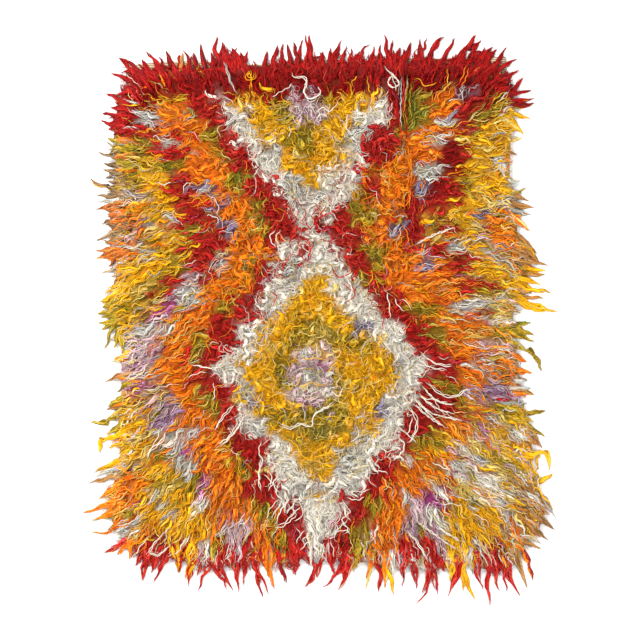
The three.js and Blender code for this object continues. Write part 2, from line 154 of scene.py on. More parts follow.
# The colour patches between the rings, by wool and in pixels: the middle of each, its reach along and
# across, and its tilt in degrees, rising to the right.
Patch = namedtuple("Patch", "x y along across tilt", defaults=[0])
PATCHES = named_rows(Patch, {
    "crimson": [
        (190, 66, 90, 30), (320, 64, 90, 32), (440, 64, 90, 30), (132, 98, 24, 22), (505, 92, 28, 12),
        (122, 125, 10, 14), (118, 116, 10, 24), (413, 224, 4, 24), (452, 160, 12, 14), (440, 186, 16, 8),
        (320, 60, 210, 30), (470, 105, 12, 14), (456, 150, 14, 10), (452, 188, 18, 9),
    ],
    "red": [
        (212, 112, 14, 12), (237, 152, 21, 12, -45), (268, 188, 17, 11, -40), (278, 212, 18, 13),
        (180, 132, 14, 4), (177, 156, 13, 6), (180, 182, 18, 9), (178, 195, 18, 14), (375, 150, 12, 14),
        (386, 146, 12, 20), (375, 190, 9, 10), (347, 236, 18, 18), (343, 215, 8, 12), (285, 228, 16, 8),
        (395, 105, 7, 20), (468, 113, 11, 15), (460, 153, 16, 10), (441, 198, 20, 16), (415, 225, 6, 25),
        (445, 225, 14, 8), (462, 262, 14, 10), (475, 286, 18, 6), (360, 262, 10, 8),
        (379, 290, 11, 14, -40), (398, 310, 12, 12, -40), (418, 335, 12, 12), (433, 352, 15, 10, -40),
        (447, 368, 16, 9), (444, 402, 25, 7, -38), (424, 421, 19, 13), (388, 460, 15, 11),
        (378, 484, 13, 13), (360, 512, 15, 9, 60), (340, 546, 15, 10), (262, 274, 11, 11),
        (246, 308, 13, 8), (225, 320, 8, 6), (222, 336, 17, 15), (207, 356, 15, 8), (198, 375, 16, 9),
        (226, 402, 8, 14), (251, 448, 15, 11), (255, 464, 10, 11), (248, 493, 16, 9), (270, 492, 10, 12),
        (296, 545, 12, 9), (288, 518, 12, 9), (250, 553, 10, 9), (198, 255, 14, 18), (212, 242, 10, 8),
        (178, 280, 12, 8, 20), (163, 291, 16, 9, 35), (185, 222, 10, 8, 40), (203, 218, 10, 6),
        (172, 545, 24, 9), (148, 560, 12, 12), (225, 556, 12, 13), (418, 548, 19, 9), (440, 560, 12, 12),
        (494, 563, 17, 13), (350, 498, 18, 4), (140, 548, 12, 6, 20), (138, 130, 20, 6),
        (472, 112, 14, 16), (436, 396, 18, 5, -30), (188, 213, 16, 5, 15), (415, 420, 10, 10),
        (402, 445, 5, 8), (246, 241, 6, 8), (395, 306, 10, 10), (240, 147, 9, 8), (252, 301, 7, 8),
        (440, 252, 8, 8), (272, 246, 7, 9), (221, 112, 8, 7), (304, 206, 4, 8), (318, 222, 5, 6),
        (146, 555, 16, 8), (174, 557, 18, 8), (294, 559, 9, 9), (168, 192, 5, 7), (120, 136, 6, 5),
        (260, 172, 5, 6), (158, 152, 7, 5),
    ],
    "orange": [
        (170, 110, 11, 10), (186, 108, 9, 7), (190, 125, 22, 8), (195, 141, 14, 7), (205, 163, 22, 12),
        (218, 178, 12, 12), (200, 200, 16, 6), (240, 210, 13, 16), (248, 238, 13, 12), (240, 262, 12, 12),
        (240, 285, 12, 12), (265, 255, 12, 7), (205, 304, 15, 8), (190, 320, 16, 9), (182, 336, 15, 10),
        (170, 355, 15, 16), (164, 374, 15, 12), (180, 392, 15, 14), (205, 425, 9, 14), (205, 445, 10, 10),
        (160, 461, 13, 7), (216, 457, 12, 11), (225, 486, 16, 14), (130, 493, 18, 10, 8),
        (125, 478, 14, 6, 10), (105, 506, 22, 6, 12), (140, 535, 18, 8, 30), (226, 512, 19, 14, 65),
        (245, 506, 14, 9), (122, 227, 16, 13), (120, 250, 17, 9, 10), (105, 208, 9, 5), (448, 103, 16, 12),
        (430, 135, 24, 9), (418, 149, 16, 9), (400, 172, 12, 22), (396, 196, 16, 13), (384, 226, 9, 10),
        (398, 250, 14, 16), (398, 284, 15, 12, -40), (425, 285, 20, 13), (440, 296, 20, 8),
        (498, 212, 9, 6), (504, 232, 22, 10, -15), (508, 252, 18, 5, -20), (464, 327, 24, 14),
        (470, 353, 18, 7), (497, 360, 15, 8), (472, 381, 22, 6), (455, 430, 22, 6, -40),
        (440, 459, 14, 6, -30), (428, 476, 12, 6, -20), (408, 483, 17, 12), (398, 508, 9, 16),
        (389, 522, 10, 15), (387, 553, 11, 24), (430, 470, 15, 6, -25), (265, 537, 9, 9),
        (268, 566, 8, 15), (525, 562, 10, 12, 55), (441, 264, 13, 9), (120, 243, 10, 7), (264, 316, 5, 6),
        (124, 210, 12, 6),
    ],
    "gold": [
        (152, 103, 22, 6), (265, 115, 14, 14), (275, 127, 12, 8), (343, 106, 18, 13), (358, 99, 18, 7),
        (340, 122, 14, 9), (329, 142, 15, 10), (302, 165, 21, 10), (308, 179, 12, 11), (150, 176, 16, 11),
        (158, 196, 18, 15), (160, 212, 16, 9), (170, 248, 16, 7), (141, 266, 26, 10, 25),
        (130, 283, 22, 9, 30), (120, 308, 18, 13), (502, 130, 17, 12), (490, 150, 20, 12),
        (482, 168, 16, 10), (488, 183, 26, 12), (466, 212, 11, 13), (470, 236, 14, 12),
        (490, 271, 17, 8, -15), (511, 282, 19, 7, -10), (525, 296, 15, 7, -15), (522, 320, 12, 12),
        (311, 288, 12, 12), (305, 305, 24, 12), (338, 321, 14, 10), (283, 326, 19, 12), (270, 344, 15, 10),
        (264, 361, 13, 10), (251, 371, 8, 10), (270, 395, 14, 11), (262, 407, 13, 11), (237, 392, 4, 14),
        (350, 366, 18, 14), (372, 366, 15, 14), (384, 378, 15, 11), (355, 401, 9, 10), (354, 422, 14, 8),
        (280, 430, 20, 7), (318, 448, 18, 8), (344, 441, 12, 6), (321, 467, 20, 10), (126, 325, 20, 10),
        (122, 405, 15, 13), (128, 431, 20, 10), (115, 440, 12, 8), (134, 455, 20, 10), (105, 468, 11, 6),
        (161, 472, 16, 12), (165, 497, 12, 8), (148, 511, 9, 12, 20), (187, 511, 12, 12),
        (190, 528, 16, 11), (190, 557, 5, 14), (470, 397, 9, 5), (519, 421, 20, 7, -35),
        (500, 440, 24, 8, -35), (512, 457, 20, 10, -38), (535, 452, 12, 6, -30), (460, 521, 16, 11),
        (479, 524, 17, 14), (490, 514, 15, 8, -45), (460, 541, 12, 7), (450, 565, 6, 12), (467, 565, 4, 9),
        (470, 530, 20, 14), (476, 166, 14, 12), (450, 440, 14, 6, -30), (440, 452, 12, 6, -35),
        (335, 163, 8, 8), (321, 171, 9, 8), (373, 426, 7, 9), (346, 156, 7, 8), (400, 394, 5, 6),
        (367, 410, 8, 12), (264, 360, 9, 7), (314, 444, 12, 6),
    ],
    "olive": [
        (188, 112, 8, 6), (211, 132, 11, 10), (222, 156, 14, 8), (240, 178, 9, 9), (256, 212, 8, 12),
        (267, 232, 6, 6), (246, 265, 5, 10), (279, 109, 13, 12), (328, 101, 12, 6), (303, 142, 15, 15),
        (132, 145, 18, 9), (170, 163, 12, 6), (190, 228, 10, 9), (175, 266, 12, 9), (150, 288, 18, 7, 30),
        (221, 306, 10, 7), (197, 344, 9, 13), (200, 362, 10, 6), (213, 404, 9, 12), (160, 453, 13, 8),
        (190, 488, 12, 8), (164, 484, 16, 7), (243, 465, 8, 9), (260, 510, 8, 6), (218, 545, 6, 11),
        (282, 545, 9, 11), (318, 427, 31, 15), (300, 322, 15, 8), (326, 331, 17, 9), (290, 345, 8, 6),
        (279, 363, 7, 14), (283, 380, 8, 8), (275, 415, 14, 6), (338, 378, 9, 12), (415, 117, 15, 9),
        (420, 94, 11, 6), (398, 140, 5, 14), (478, 120, 10, 8, 45), (490, 107, 13, 5), (438, 222, 8, 8),
        (362, 216, 12, 14), (378, 258, 13, 11), (365, 279, 15, 5), (424, 310, 15, 7),
        (437, 336, 12, 8, -50), (450, 386, 12, 8), (430, 440, 15, 8), (490, 296, 16, 5), (505, 330, 14, 9),
        (515, 405, 12, 5, -20), (505, 466, 22, 6, -35), (425, 533, 12, 5, -30), (372, 508, 11, 8),
        (358, 531, 8, 8), (358, 551, 8, 11), (467, 268, 6, 7), (462, 411, 12, 4, -30),
        (440, 470, 10, 4, -20), (470, 500, 10, 5, -30), (500, 411, 12, 5, -20), (120, 150, 10, 10),
        (469, 182, 6, 14), (150, 170, 10, 6), (186, 484, 8, 14), (360, 345, 10, 6), (300, 420, 14, 8),
        (338, 428, 12, 8), (345, 340, 12, 7), (415, 120, 10, 8), (310, 140, 8, 10), (296, 332, 8, 6),
        (126, 176, 12, 8), (126, 192, 12, 7), (122, 151, 11, 9), (120, 207, 10, 6), (343, 150, 6, 8),
        (133, 162, 10, 6), (120, 232, 10, 5), (120, 136, 9, 7), (140, 160, 20, 8), (357, 123, 6, 7),
        (138, 182, 12, 7), (118, 250, 9, 5), (346, 143, 6, 6), (242, 121, 5, 4), (324, 412, 16, 6),
        (352, 316, 6, 5),
    ],
    "white": [
        (240, 116, 11, 9), (244, 135, 12, 12), (270, 165, 14, 11), (365, 118, 20, 11), (352, 163, 10, 19),
        (325, 172, 9, 6), (385, 113, 10, 12), (306, 216, 10, 22), (334, 201, 14, 9), (290, 248, 10, 11),
        (320, 241, 12, 9), (331, 257, 17, 14), (265, 300, 16, 10), (245, 332, 10, 14), (225, 370, 15, 11),
        (247, 420, 12, 12), (280, 459, 15, 16), (290, 481, 13, 11), (325, 515, 20, 14), (322, 538, 10, 14),
        (316, 358, 15, 7), (318, 392, 17, 7), (345, 290, 12, 10), (356, 304, 20, 11), (366, 316, 14, 9),
        (387, 329, 14, 12), (405, 349, 13, 12), (416, 366, 14, 11), (412, 385, 12, 13), (395, 416, 12, 17),
        (384, 440, 12, 11), (374, 456, 11, 11), (365, 472, 9, 14), (355, 488, 9, 8), (500, 322, 12, 5),
        (485, 480, 28, 4, -30), (129, 82, 6, 8), (200, 508, 4, 8), (212, 552, 4, 12),
        (425, 512, 14, 6, -35), (515, 428, 12, 4, -35), (448, 493, 14, 3, -10), (502, 492, 14, 4, -40),
        (470, 455, 20, 3, -35), (455, 476, 18, 3, -30), (500, 445, 18, 3, -35), (482, 500, 16, 3, -35),
        (520, 475, 14, 3, -35), (140, 410, 18, 3, 12), (130, 440, 14, 3, 15), (175, 440, 12, 3, 28),
        (128, 396, 14, 3, 10), (140, 490, 14, 3, 20), (347, 189, 8, 8), (395, 451, 7, 9), (273, 282, 9, 9),
        (327, 216, 7, 7), (428, 484, 12, 3, -30), (449, 529, 12, 4, -40), (474, 316, 16, 4, -10),
        (230, 560, 5, 12), (409, 458, 9, 4, -30), (283, 500, 7, 8), (427, 562, 5, 8), (320, 550, 6, 10),
        (330, 484, 12, 4),
    ],
    "grey": [
        (147, 115, 9, 8), (180, 117, 9, 5), (174, 143, 14, 6), (192, 154, 8, 5), (270, 147, 9, 7),
        (250, 125, 8, 5), (347, 147, 10, 6), (290, 179, 11, 8), (297, 189, 12, 9), (325, 189, 12, 8),
        (272, 268, 10, 6), (295, 266, 12, 8), (290, 284, 10, 8), (272, 315, 7, 8), (255, 336, 8, 10),
        (305, 374, 14, 8), (245, 390, 10, 8), (362, 419, 6, 5), (355, 437, 7, 5), (350, 456, 14, 10),
        (346, 472, 10, 14), (325, 486, 16, 7), (298, 490, 9, 9), (431, 171, 15, 8), (436, 139, 12, 4),
        (450, 122, 11, 5), (500, 165, 14, 6), (511, 183, 12, 6), (508, 204, 10, 7), (128, 197, 12, 6),
        (143, 223, 14, 5), (172, 222, 7, 5), (125, 250, 14, 5), (148, 258, 9, 5, 20), (187, 297, 13, 10),
        (134, 346, 11, 8), (165, 329, 12, 6), (150, 375, 9, 6), (170, 434, 12, 6), (185, 463, 12, 7),
        (188, 470, 10, 8), (118, 468, 15, 5, 20), (158, 500, 6, 8, 30), (170, 512, 8, 6),
        (132, 523, 14, 8, 30), (460, 244, 12, 5, 15), (492, 250, 16, 5, -12), (470, 305, 22, 6),
        (488, 365, 14, 5), (505, 425, 18, 4, -35), (455, 465, 14, 5, -30), (412, 503, 8, 10),
        (430, 518, 16, 6, -40), (510, 524, 8, 7), (480, 548, 10, 6), (430, 560, 4, 11), (398, 368, 8, 5),
        (374, 328, 7, 8), (196, 432, 7, 7), (218, 262, 6, 10), (488, 464, 13, 5, -35),
        (520, 500, 10, 4, -45), (505, 508, 10, 5, -45), (128, 340, 10, 9), (140, 330, 10, 7),
        (508, 246, 22, 3, -18), (500, 262, 16, 3, -20), (498, 300, 20, 3, -15), (238, 126, 10, 7),
        (358, 127, 9, 9), (271, 159, 8, 7), (305, 208, 8, 10), (315, 196, 10, 6), (233, 118, 9, 7),
        (262, 306, 7, 8), (258, 428, 8, 9), (136, 190, 10, 5), (146, 199, 8, 4), (148, 250, 14, 3, 15),
    ],
    "indigo": [
        (156, 117, 6, 5), (203, 186, 11, 8), (218, 200, 8, 8), (228, 226, 8, 8), (362, 325, 10, 7),
        (382, 409, 9, 6), (253, 404, 6, 7), (394, 228, 8, 8), (479, 214, 8, 5), (426, 266, 9, 8),
        (467, 92, 14, 5), (423, 190, 9, 11), (130, 467, 9, 4, 25), (208, 443, 5, 5), (165, 394, 6, 8),
        (171, 404, 4, 7), (482, 521, 5, 5), (369, 327, 6, 6), (379, 411, 6, 7),
    ],
    "mauve": [
        (303, 105, 18, 15), (315, 360, 14, 9), (297, 388, 11, 9), (325, 410, 8, 4), (152, 345, 12, 10),
        (143, 360, 18, 10), (190, 277, 7, 6), (181, 450, 10, 7), (153, 402, 10, 6), (243, 525, 9, 11),
        (229, 528, 8, 13, 30), (235, 546, 9, 10), (493, 348, 12, 7), (397, 555, 6, 12), (483, 432, 7, 6),
        (452, 447, 8, 4, -20), (478, 472, 7, 4, -20), (456, 470, 7, 4, -20), (415, 506, 8, 8),
        (138, 352, 14, 12), (130, 372, 12, 8), (160, 326, 14, 8), (415, 515, 10, 20),
        (425, 528, 12, 10, -30), (128, 232, 12, 8), (440, 545, 8, 8, -40), (300, 372, 9, 10),
        (332, 372, 9, 12), (312, 394, 20, 8), (322, 108, 9, 8), (288, 376, 5, 8),
    ],
    "purple": [
        (492, 393, 18, 9), (480, 232, 7, 5), (165, 413, 10, 8), (108, 482, 17, 5, 15), (161, 422, 10, 6),
        (440, 487, 11, 3, -25), (412, 530, 10, 8), (420, 498, 6, 5), (492, 391, 18, 8), (165, 411, 9, 6),
        (412, 520, 6, 14), (298, 110, 7, 5),
    ],
    "magenta": [
        (311, 124, 5, 3), (165, 304, 7, 7), (160, 317, 8, 7), (140, 388, 10, 7), (310, 405, 11, 5),
        (327, 368, 6, 8), (202, 487, 12, 5, 65), (434, 508, 8, 6), (486, 325, 4, 4), (221, 516, 4, 5),
        (431, 503, 8, 7, -30), (180, 451, 6, 5), (430, 500, 8, 7, -30),
    ],
    "tan": [
        (122, 176, 12, 6), (110, 406, 8, 5), (526, 252, 11, 12), (515, 211, 8, 6), (525, 381, 11, 13),
        (530, 435, 10, 11), (535, 497, 14, 12, -45), (416, 86, 5, 4), (116, 240, 10, 8),
        (518, 246, 18, 8, -20), (524, 262, 16, 8, -20), (522, 490, 14, 8, -35), (532, 510, 18, 8, -35),
        (520, 530, 14, 8, -40), (516, 370, 10, 12), (120, 143, 8, 5),
    ],
    "straw": [
        (318, 427, 26, 10), (326, 331, 14, 7), (321, 462, 14, 5), (270, 348, 9, 8), (505, 455, 16, 5, -35),
        (166, 487, 16, 5, 10), (468, 332, 14, 5, -10), (480, 445, 18, 3, -35), (465, 490, 18, 3, -30),
        (495, 470, 18, 3, -35), (512, 500, 14, 4, -40), (470, 420, 16, 3, -35), (140, 455, 16, 4, 15),
        (480, 530, 12, 4, -40), (500, 296, 18, 3, -12), (512, 312, 12, 3, -12), (140, 285, 14, 4, 25),
        (430, 480, 12, 4, -30), (450, 525, 10, 4, -40),
    ],
    # Brown patches are painted shade, mostly along the left rim.
    "shade_brown": [
        (122, 180, 11, 9), (124, 194, 14, 8), (150, 197, 9, 5), (116, 222, 10, 6), (118, 236, 10, 6),
        (119, 168, 7, 6), (120, 152, 5, 6), (112, 254, 7, 6), (530, 262, 8, 8), (524, 505, 10, 4, -35),
        (123, 202, 7, 5), (120, 144, 5, 5), (141, 320, 7, 5), (242, 118, 6, 6), (264, 149, 5, 5),
        (123, 196, 8, 5),
    ],
    "moss": [
        (415, 117, 11, 10), (411, 97, 5, 9), (172, 165, 10, 6), (468, 215, 6, 5), (461, 226, 9, 4),
        (241, 179, 8, 8), (130, 305, 10, 6, 20), (167, 255, 8, 7), (318, 430, 14, 7), (304, 140, 7, 7),
        (200, 372, 7, 6), (150, 290, 12, 4, 30), (256, 212, 6, 7), (413, 110, 9, 14), (120, 180, 6, 5),
        (126, 160, 10, 5), (415, 118, 9, 8),
    ],
    "rust": [
        (108, 208, 12, 5), (108, 250, 10, 9), (118, 224, 8, 10), (98, 492, 10, 8), (540, 505, 8, 8),
        (120, 142, 6, 6), (122, 170, 6, 5),
    ],
})

# Broad areas where a little of one wool is mixed in with the rest. An area given twice counts twice.
BLENDS = named_rows(Patch, {
    "white": [(320, 560, 230, 34), (320, 560, 230, 34), (490, 480, 50, 30, -35)],
    "mauve": [(320, 560, 230, 34), (320, 560, 230, 34), (480, 420, 80, 70)],
    "straw": [
        (500, 300, 60, 220), (320, 566, 230, 26), (130, 430, 60, 170), (320, 330, 90, 150),
        (172, 486, 26, 18), (184, 520, 18, 20), (480, 470, 40, 26, -35), (472, 525, 26, 18),
        (320, 400, 60, 40),
    ],
    "tan": [(510, 300, 50, 220), (120, 300, 50, 250)],
})

# How much patches and blends count beside the rings, and how steeply both fade towards their edges.
PATCH_STRENGTH = 3.2
BLEND_STRENGTH = 0.28
PATCH_STEEPNESS = 1.1
PATCH_POWER = 1.5

# How far the colours wander, in pixels, in bumps of that size in metres.
COLOUR_WANDER = 3.0
COLOUR_BUMPS = 0.06

# How sharply the likeliest wool wins: in the middle, at the sides, and the stretch of x between the two.
MIXING = 1.9
SIDE_MIXING = 1.35
SIDE_SPAN = (0.34, 0.48)

# The tufts that stand out along the rug's edges, by wool and in pixels: where each leaves the pile,
# its tip, its width, and how far its middle bows to the left of its way.
Tuft = namedtuple("Tuft", "x y tip_x tip_y width bow", defaults=[0])
TUFTS = named_rows(Tuft, {
    "crimson": [
        (144, 86, 127, 66, 8, -2), (152, 80, 137, 62, 8, -2), (136, 98, 120, 84, 7, -2),
        (132, 110, 114, 101, 6, -1), (162, 74, 152, 58, 7, -1), (174, 70, 167, 56, 7),
        (186, 68, 190, 55, 6), (138, 92, 124, 75, 7, -2), (486, 78, 504, 60, 8, 1),
        (494, 84, 509, 71, 7, 1), (474, 70, 486, 52, 7, 1), (500, 92, 514, 84, 5, 1),
        (136, 74, 117, 56, 9, -3), (146, 68, 141, 58, 5), (157, 68, 145, 50, 4, -2), (162, 66, 158, 56, 2),
        (169, 63, 165, 50, 3), (188, 66, 182, 49, 2, -3), (195, 62, 193, 52, 3), (204, 62, 200, 43, 3),
        (212, 62, 210, 51, 4), (219, 60, 216, 35, 3, 1), (226, 64, 222, 40, 10),
        (236, 64, 231, 47, 10, -1), (244, 64, 240, 51, 6), (264, 64, 266, 50, 3), (274, 64, 277, 44, 4, 1),
        (283, 62, 283, 42, 5), (290, 60, 287, 43, 3, -1), (297, 62, 293, 41, 3, -1),
        (299, 62, 303, 38, 4, 1), (307, 60, 306, 33, 2), (311, 60, 309, 33, 3), (320, 62, 322, 50, 8),
        (330, 60, 331, 47, 4), (334, 62, 342, 39, 8, 2), (343, 62, 347, 45, 4), (351, 62, 352, 47, 4),
        (358, 62, 370, 43, 9, 3), (372, 62, 374, 44, 4), (380, 62, 381, 43, 6), (391, 60, 385, 33, 3, -1),
        (392, 64, 393, 38, 10), (407, 66, 412, 41, 10, 2), (417, 66, 421, 36, 10), (423, 56, 428, 37, 2),
        (430, 64, 434, 42, 6, 1), (433, 52, 445, 36, 5, 2), (440, 60, 455, 36, 3),
        (460, 64, 471, 42, 10, 2), (471, 46, 477, 34, 3, 1), (473, 54, 482, 39, 5, 1),
        (482, 64, 494, 45, 9, 2), (498, 64, 508, 46, 4), (502, 70, 518, 58, 4, 4),
        (502, 79, 520, 69, 5, 2), (502, 87, 513, 79, 4), (515, 90, 524, 77, 3), (510, 92, 532, 88, 4),
        (512, 98, 535, 96, 4), (515, 103, 535, 101, 4), (130, 84, 110, 72, 3, -2),
        (122, 100, 105, 92, 3, -1), (128, 90, 116, 93, 3), (118, 115, 102, 112, 4),
        (118, 119, 100, 119, 2, 1), (118, 122, 104, 121, 3), (226, 62, 224, 44, 8), (234, 62, 236, 46, 8),
        (241, 62, 246, 50, 6), (480, 62, 486, 46, 8, 1), (488, 62, 498, 48, 8, 1), (396, 62, 400, 46, 6),
        (404, 62, 404, 48, 6), (180, 64, 178, 54, 5), (124, 108, 110, 106, 6), (122, 114, 108, 116, 6),
        (122, 123, 108, 127, 6), (122, 130, 113, 133, 5),
    ],
    "red": [
        (126, 542, 103, 555, 6), (142, 552, 134, 567, 4), (151, 550, 140, 583, 8, -2),
        (158, 554, 153, 571, 5), (168, 552, 153, 580, 4, -1), (195, 556, 187, 588, 8),
        (200, 558, 196, 577, 6), (204, 556, 208, 572, 4, 1), (208, 568, 197, 592, 4, -1),
        (209, 562, 218, 581, 5, 1), (221, 570, 232, 592, 2, -1), (217, 574, 225, 590, 2),
        (219, 550, 220, 581, 11), (231, 552, 237, 595, 6, 1), (240, 550, 242, 587, 7, 1),
        (252, 556, 262, 600, 4, -2), (256, 556, 268, 596, 4, -2), (262, 556, 267, 574, 4),
        (278, 554, 286, 585, 4, -2), (294, 550, 295, 577, 11), (302, 552, 315, 573, 5, 2),
        (315, 568, 305, 588, 4, 4), (323, 552, 317, 580, 4, 2), (329, 552, 334, 575, 4),
        (342, 554, 322, 588, 5, 5), (347, 556, 343, 584, 3), (354, 550, 338, 592, 8, 5),
        (376, 560, 379, 594, 4), (403, 552, 403, 589, 8, 1), (411, 548, 417, 590, 10, 3),
        (426, 548, 416, 606, 8, 8), (438, 548, 439, 597, 10, -1), (460, 562, 449, 598, 6, 2),
        (478, 556, 484, 591, 6, -1), (486, 556, 491, 608, 5, 2), (494, 552, 502, 593, 8, -1),
        (502, 558, 508, 593, 4, 1), (510, 558, 522, 598, 5, -2), (146, 554, 142, 582, 6, -1),
        (164, 556, 152, 584, 4, -1), (156, 555, 150, 574, 6), (180, 557, 178, 574, 6),
        (294, 556, 293, 576, 8, 1), (279, 560, 284, 583, 4),
    ],
    "orange": [
        (112, 489, 97, 500, 4), (112, 503, 95, 508, 6), (116, 507, 81, 514, 5), (116, 512, 91, 522, 4),
        (124, 520, 90, 534, 6, 3), (130, 545, 116, 556, 5), (128, 548, 127, 560, 5),
        (268, 548, 274, 590, 9, -1), (370, 556, 367, 580, 6), (372, 560, 366, 590, 4),
        (386, 556, 386, 590, 7), (514, 218, 530, 229, 8, 1), (528, 266, 540, 273, 5),
        (518, 357, 527, 361, 5), (517, 370, 533, 373, 6), (514, 528, 522, 546, 6, 1),
        (526, 556, 534, 582, 4),
    ],
    "gold": [
        (116, 293, 99, 301, 5), (126, 354, 117, 358, 6), (118, 436, 98, 442, 6), (99, 441, 98, 452, 3),
        (118, 464, 93, 474, 6, -1), (175, 550, 176, 574, 7), (193, 546, 184, 580, 5, 1),
        (191, 566, 186, 580, 3), (388, 572, 394, 596, 3), (450, 556, 451, 583, 9), (466, 552, 467, 570, 7),
        (463, 566, 464, 593, 4), (466, 570, 476, 600, 3, -1), (514, 110, 531, 116, 4, -2),
        (508, 121, 524, 132, 9, 2), (523, 279, 541, 284, 5), (524, 284, 552, 292, 5, -1),
        (524, 299, 558, 311, 8, -1), (526, 454, 552, 452, 6, -2), (548, 454, 551, 470, 4, 2),
        (528, 468, 544, 482, 4, -1), (543, 482, 553, 476, 3, -1),
    ],
    "olive": [
        (116, 141, 107, 137, 3), (114, 322, 97, 323, 5), (112, 328, 103, 348, 4, -1),
        (116, 334, 112, 347, 5), (121, 342, 123, 353, 6), (126, 384, 117, 391, 5), (118, 401, 107, 406, 6),
        (116, 414, 101, 424, 5, 1), (104, 424, 90, 423, 4), (116, 429, 106, 435, 6),
        (108, 312, 97, 313, 3), (214, 550, 213, 566, 6), (357, 550, 357, 568, 8),
        (510, 190, 527, 186, 4, -3), (521, 324, 531, 323, 4), (520, 330, 534, 335, 5),
        (518, 334, 535, 341, 5), (515, 342, 532, 352, 6), (531, 351, 542, 371, 4, 3),
        (512, 407, 535, 414, 6, -1), (532, 414, 546, 412, 3), (528, 427, 545, 437, 3, 1),
        (520, 420, 534, 423, 6, 1), (116, 300, 101, 307, 7), (114, 312, 100, 317, 7),
        (112, 320, 101, 329, 6), (126, 148, 112, 147, 7, 1), (126, 164, 112, 164, 7),
        (125, 186, 111, 188, 6),
    ],
    "tan": [
        (180, 64, 181, 52, 3), (128, 374, 104, 382, 7, -1), (118, 407, 106, 410, 5),
        (116, 480, 87, 486, 4, -1), (506, 151, 517, 153, 4), (518, 196, 529, 199, 6),
        (518, 203, 534, 206, 5), (520, 250, 540, 262, 13, 2), (522, 240, 537, 252, 8, 1),
        (528, 262, 549, 265, 4), (530, 268, 546, 270, 3), (530, 273, 545, 274, 3), (524, 289, 532, 292, 6),
        (528, 297, 544, 298, 2), (508, 308, 520, 312, 7), (520, 392, 534, 395, 7),
        (526, 434, 543, 449, 14, 3), (528, 500, 550, 515, 7), (518, 538, 542, 550, 3, -2),
        (519, 558, 529, 590, 5, 1), (506, 562, 512, 575, 4), (524, 480, 543, 500, 9, 1),
        (530, 494, 557, 520, 12, 2), (532, 514, 556, 532, 7, 1), (532, 524, 550, 541, 7),
    ],
    "grey": [
        (126, 261, 100, 273, 4), (116, 470, 95, 478, 4, -1), (122, 528, 114, 533, 3),
        (130, 534, 117, 540, 4), (310, 552, 311, 567, 5), (394, 556, 394, 579, 6), (472, 552, 474, 576, 4),
        (500, 163, 505, 177, 7, 2), (515, 208, 531, 213, 4), (519, 381, 528, 381, 4),
        (518, 388, 532, 389, 4), (516, 529, 542, 545, 4), (512, 403, 527, 404, 3), (120, 199, 97, 200, 3),
    ],
    # Brown tufts are painted shade along the left rim.
    "shade_brown": [
        (116, 150, 106, 153, 2), (107, 153, 97, 150, 1.5, 1), (118, 167, 103, 162, 3),
        (118, 174, 105, 176, 3), (116, 192, 104, 183, 3), (105, 183, 90, 177, 2, 3),
        (118, 170, 103, 168, 3), (116, 180, 108, 180, 5), (114, 232, 95, 239, 4, -1),
        (116, 226, 106, 224, 6), (116, 238, 104, 242, 5), (124, 177, 110, 180, 6), (124, 193, 110, 196, 6),
        (122, 199, 109, 202, 5), (120, 232, 108, 233, 6), (122, 195, 96, 194, 3, 1),
        (124, 189, 110, 191, 6), (124, 184, 111, 185, 5),
    ],
    "rust": [
        (120, 207, 95, 209, 10, -3), (119, 249, 94, 250, 7), (119, 252, 94, 258, 11),
        (117, 252, 107, 265, 8), (118, 244, 103, 240, 6), (119, 214, 108, 216, 7), (118, 222, 108, 221, 7),
        (126, 141, 112, 140, 7), (126, 156, 111, 157, 7), (123, 204, 108, 203, 7), (122, 212, 107, 213, 7),
        (124, 169, 112, 169, 5),
    ],
})
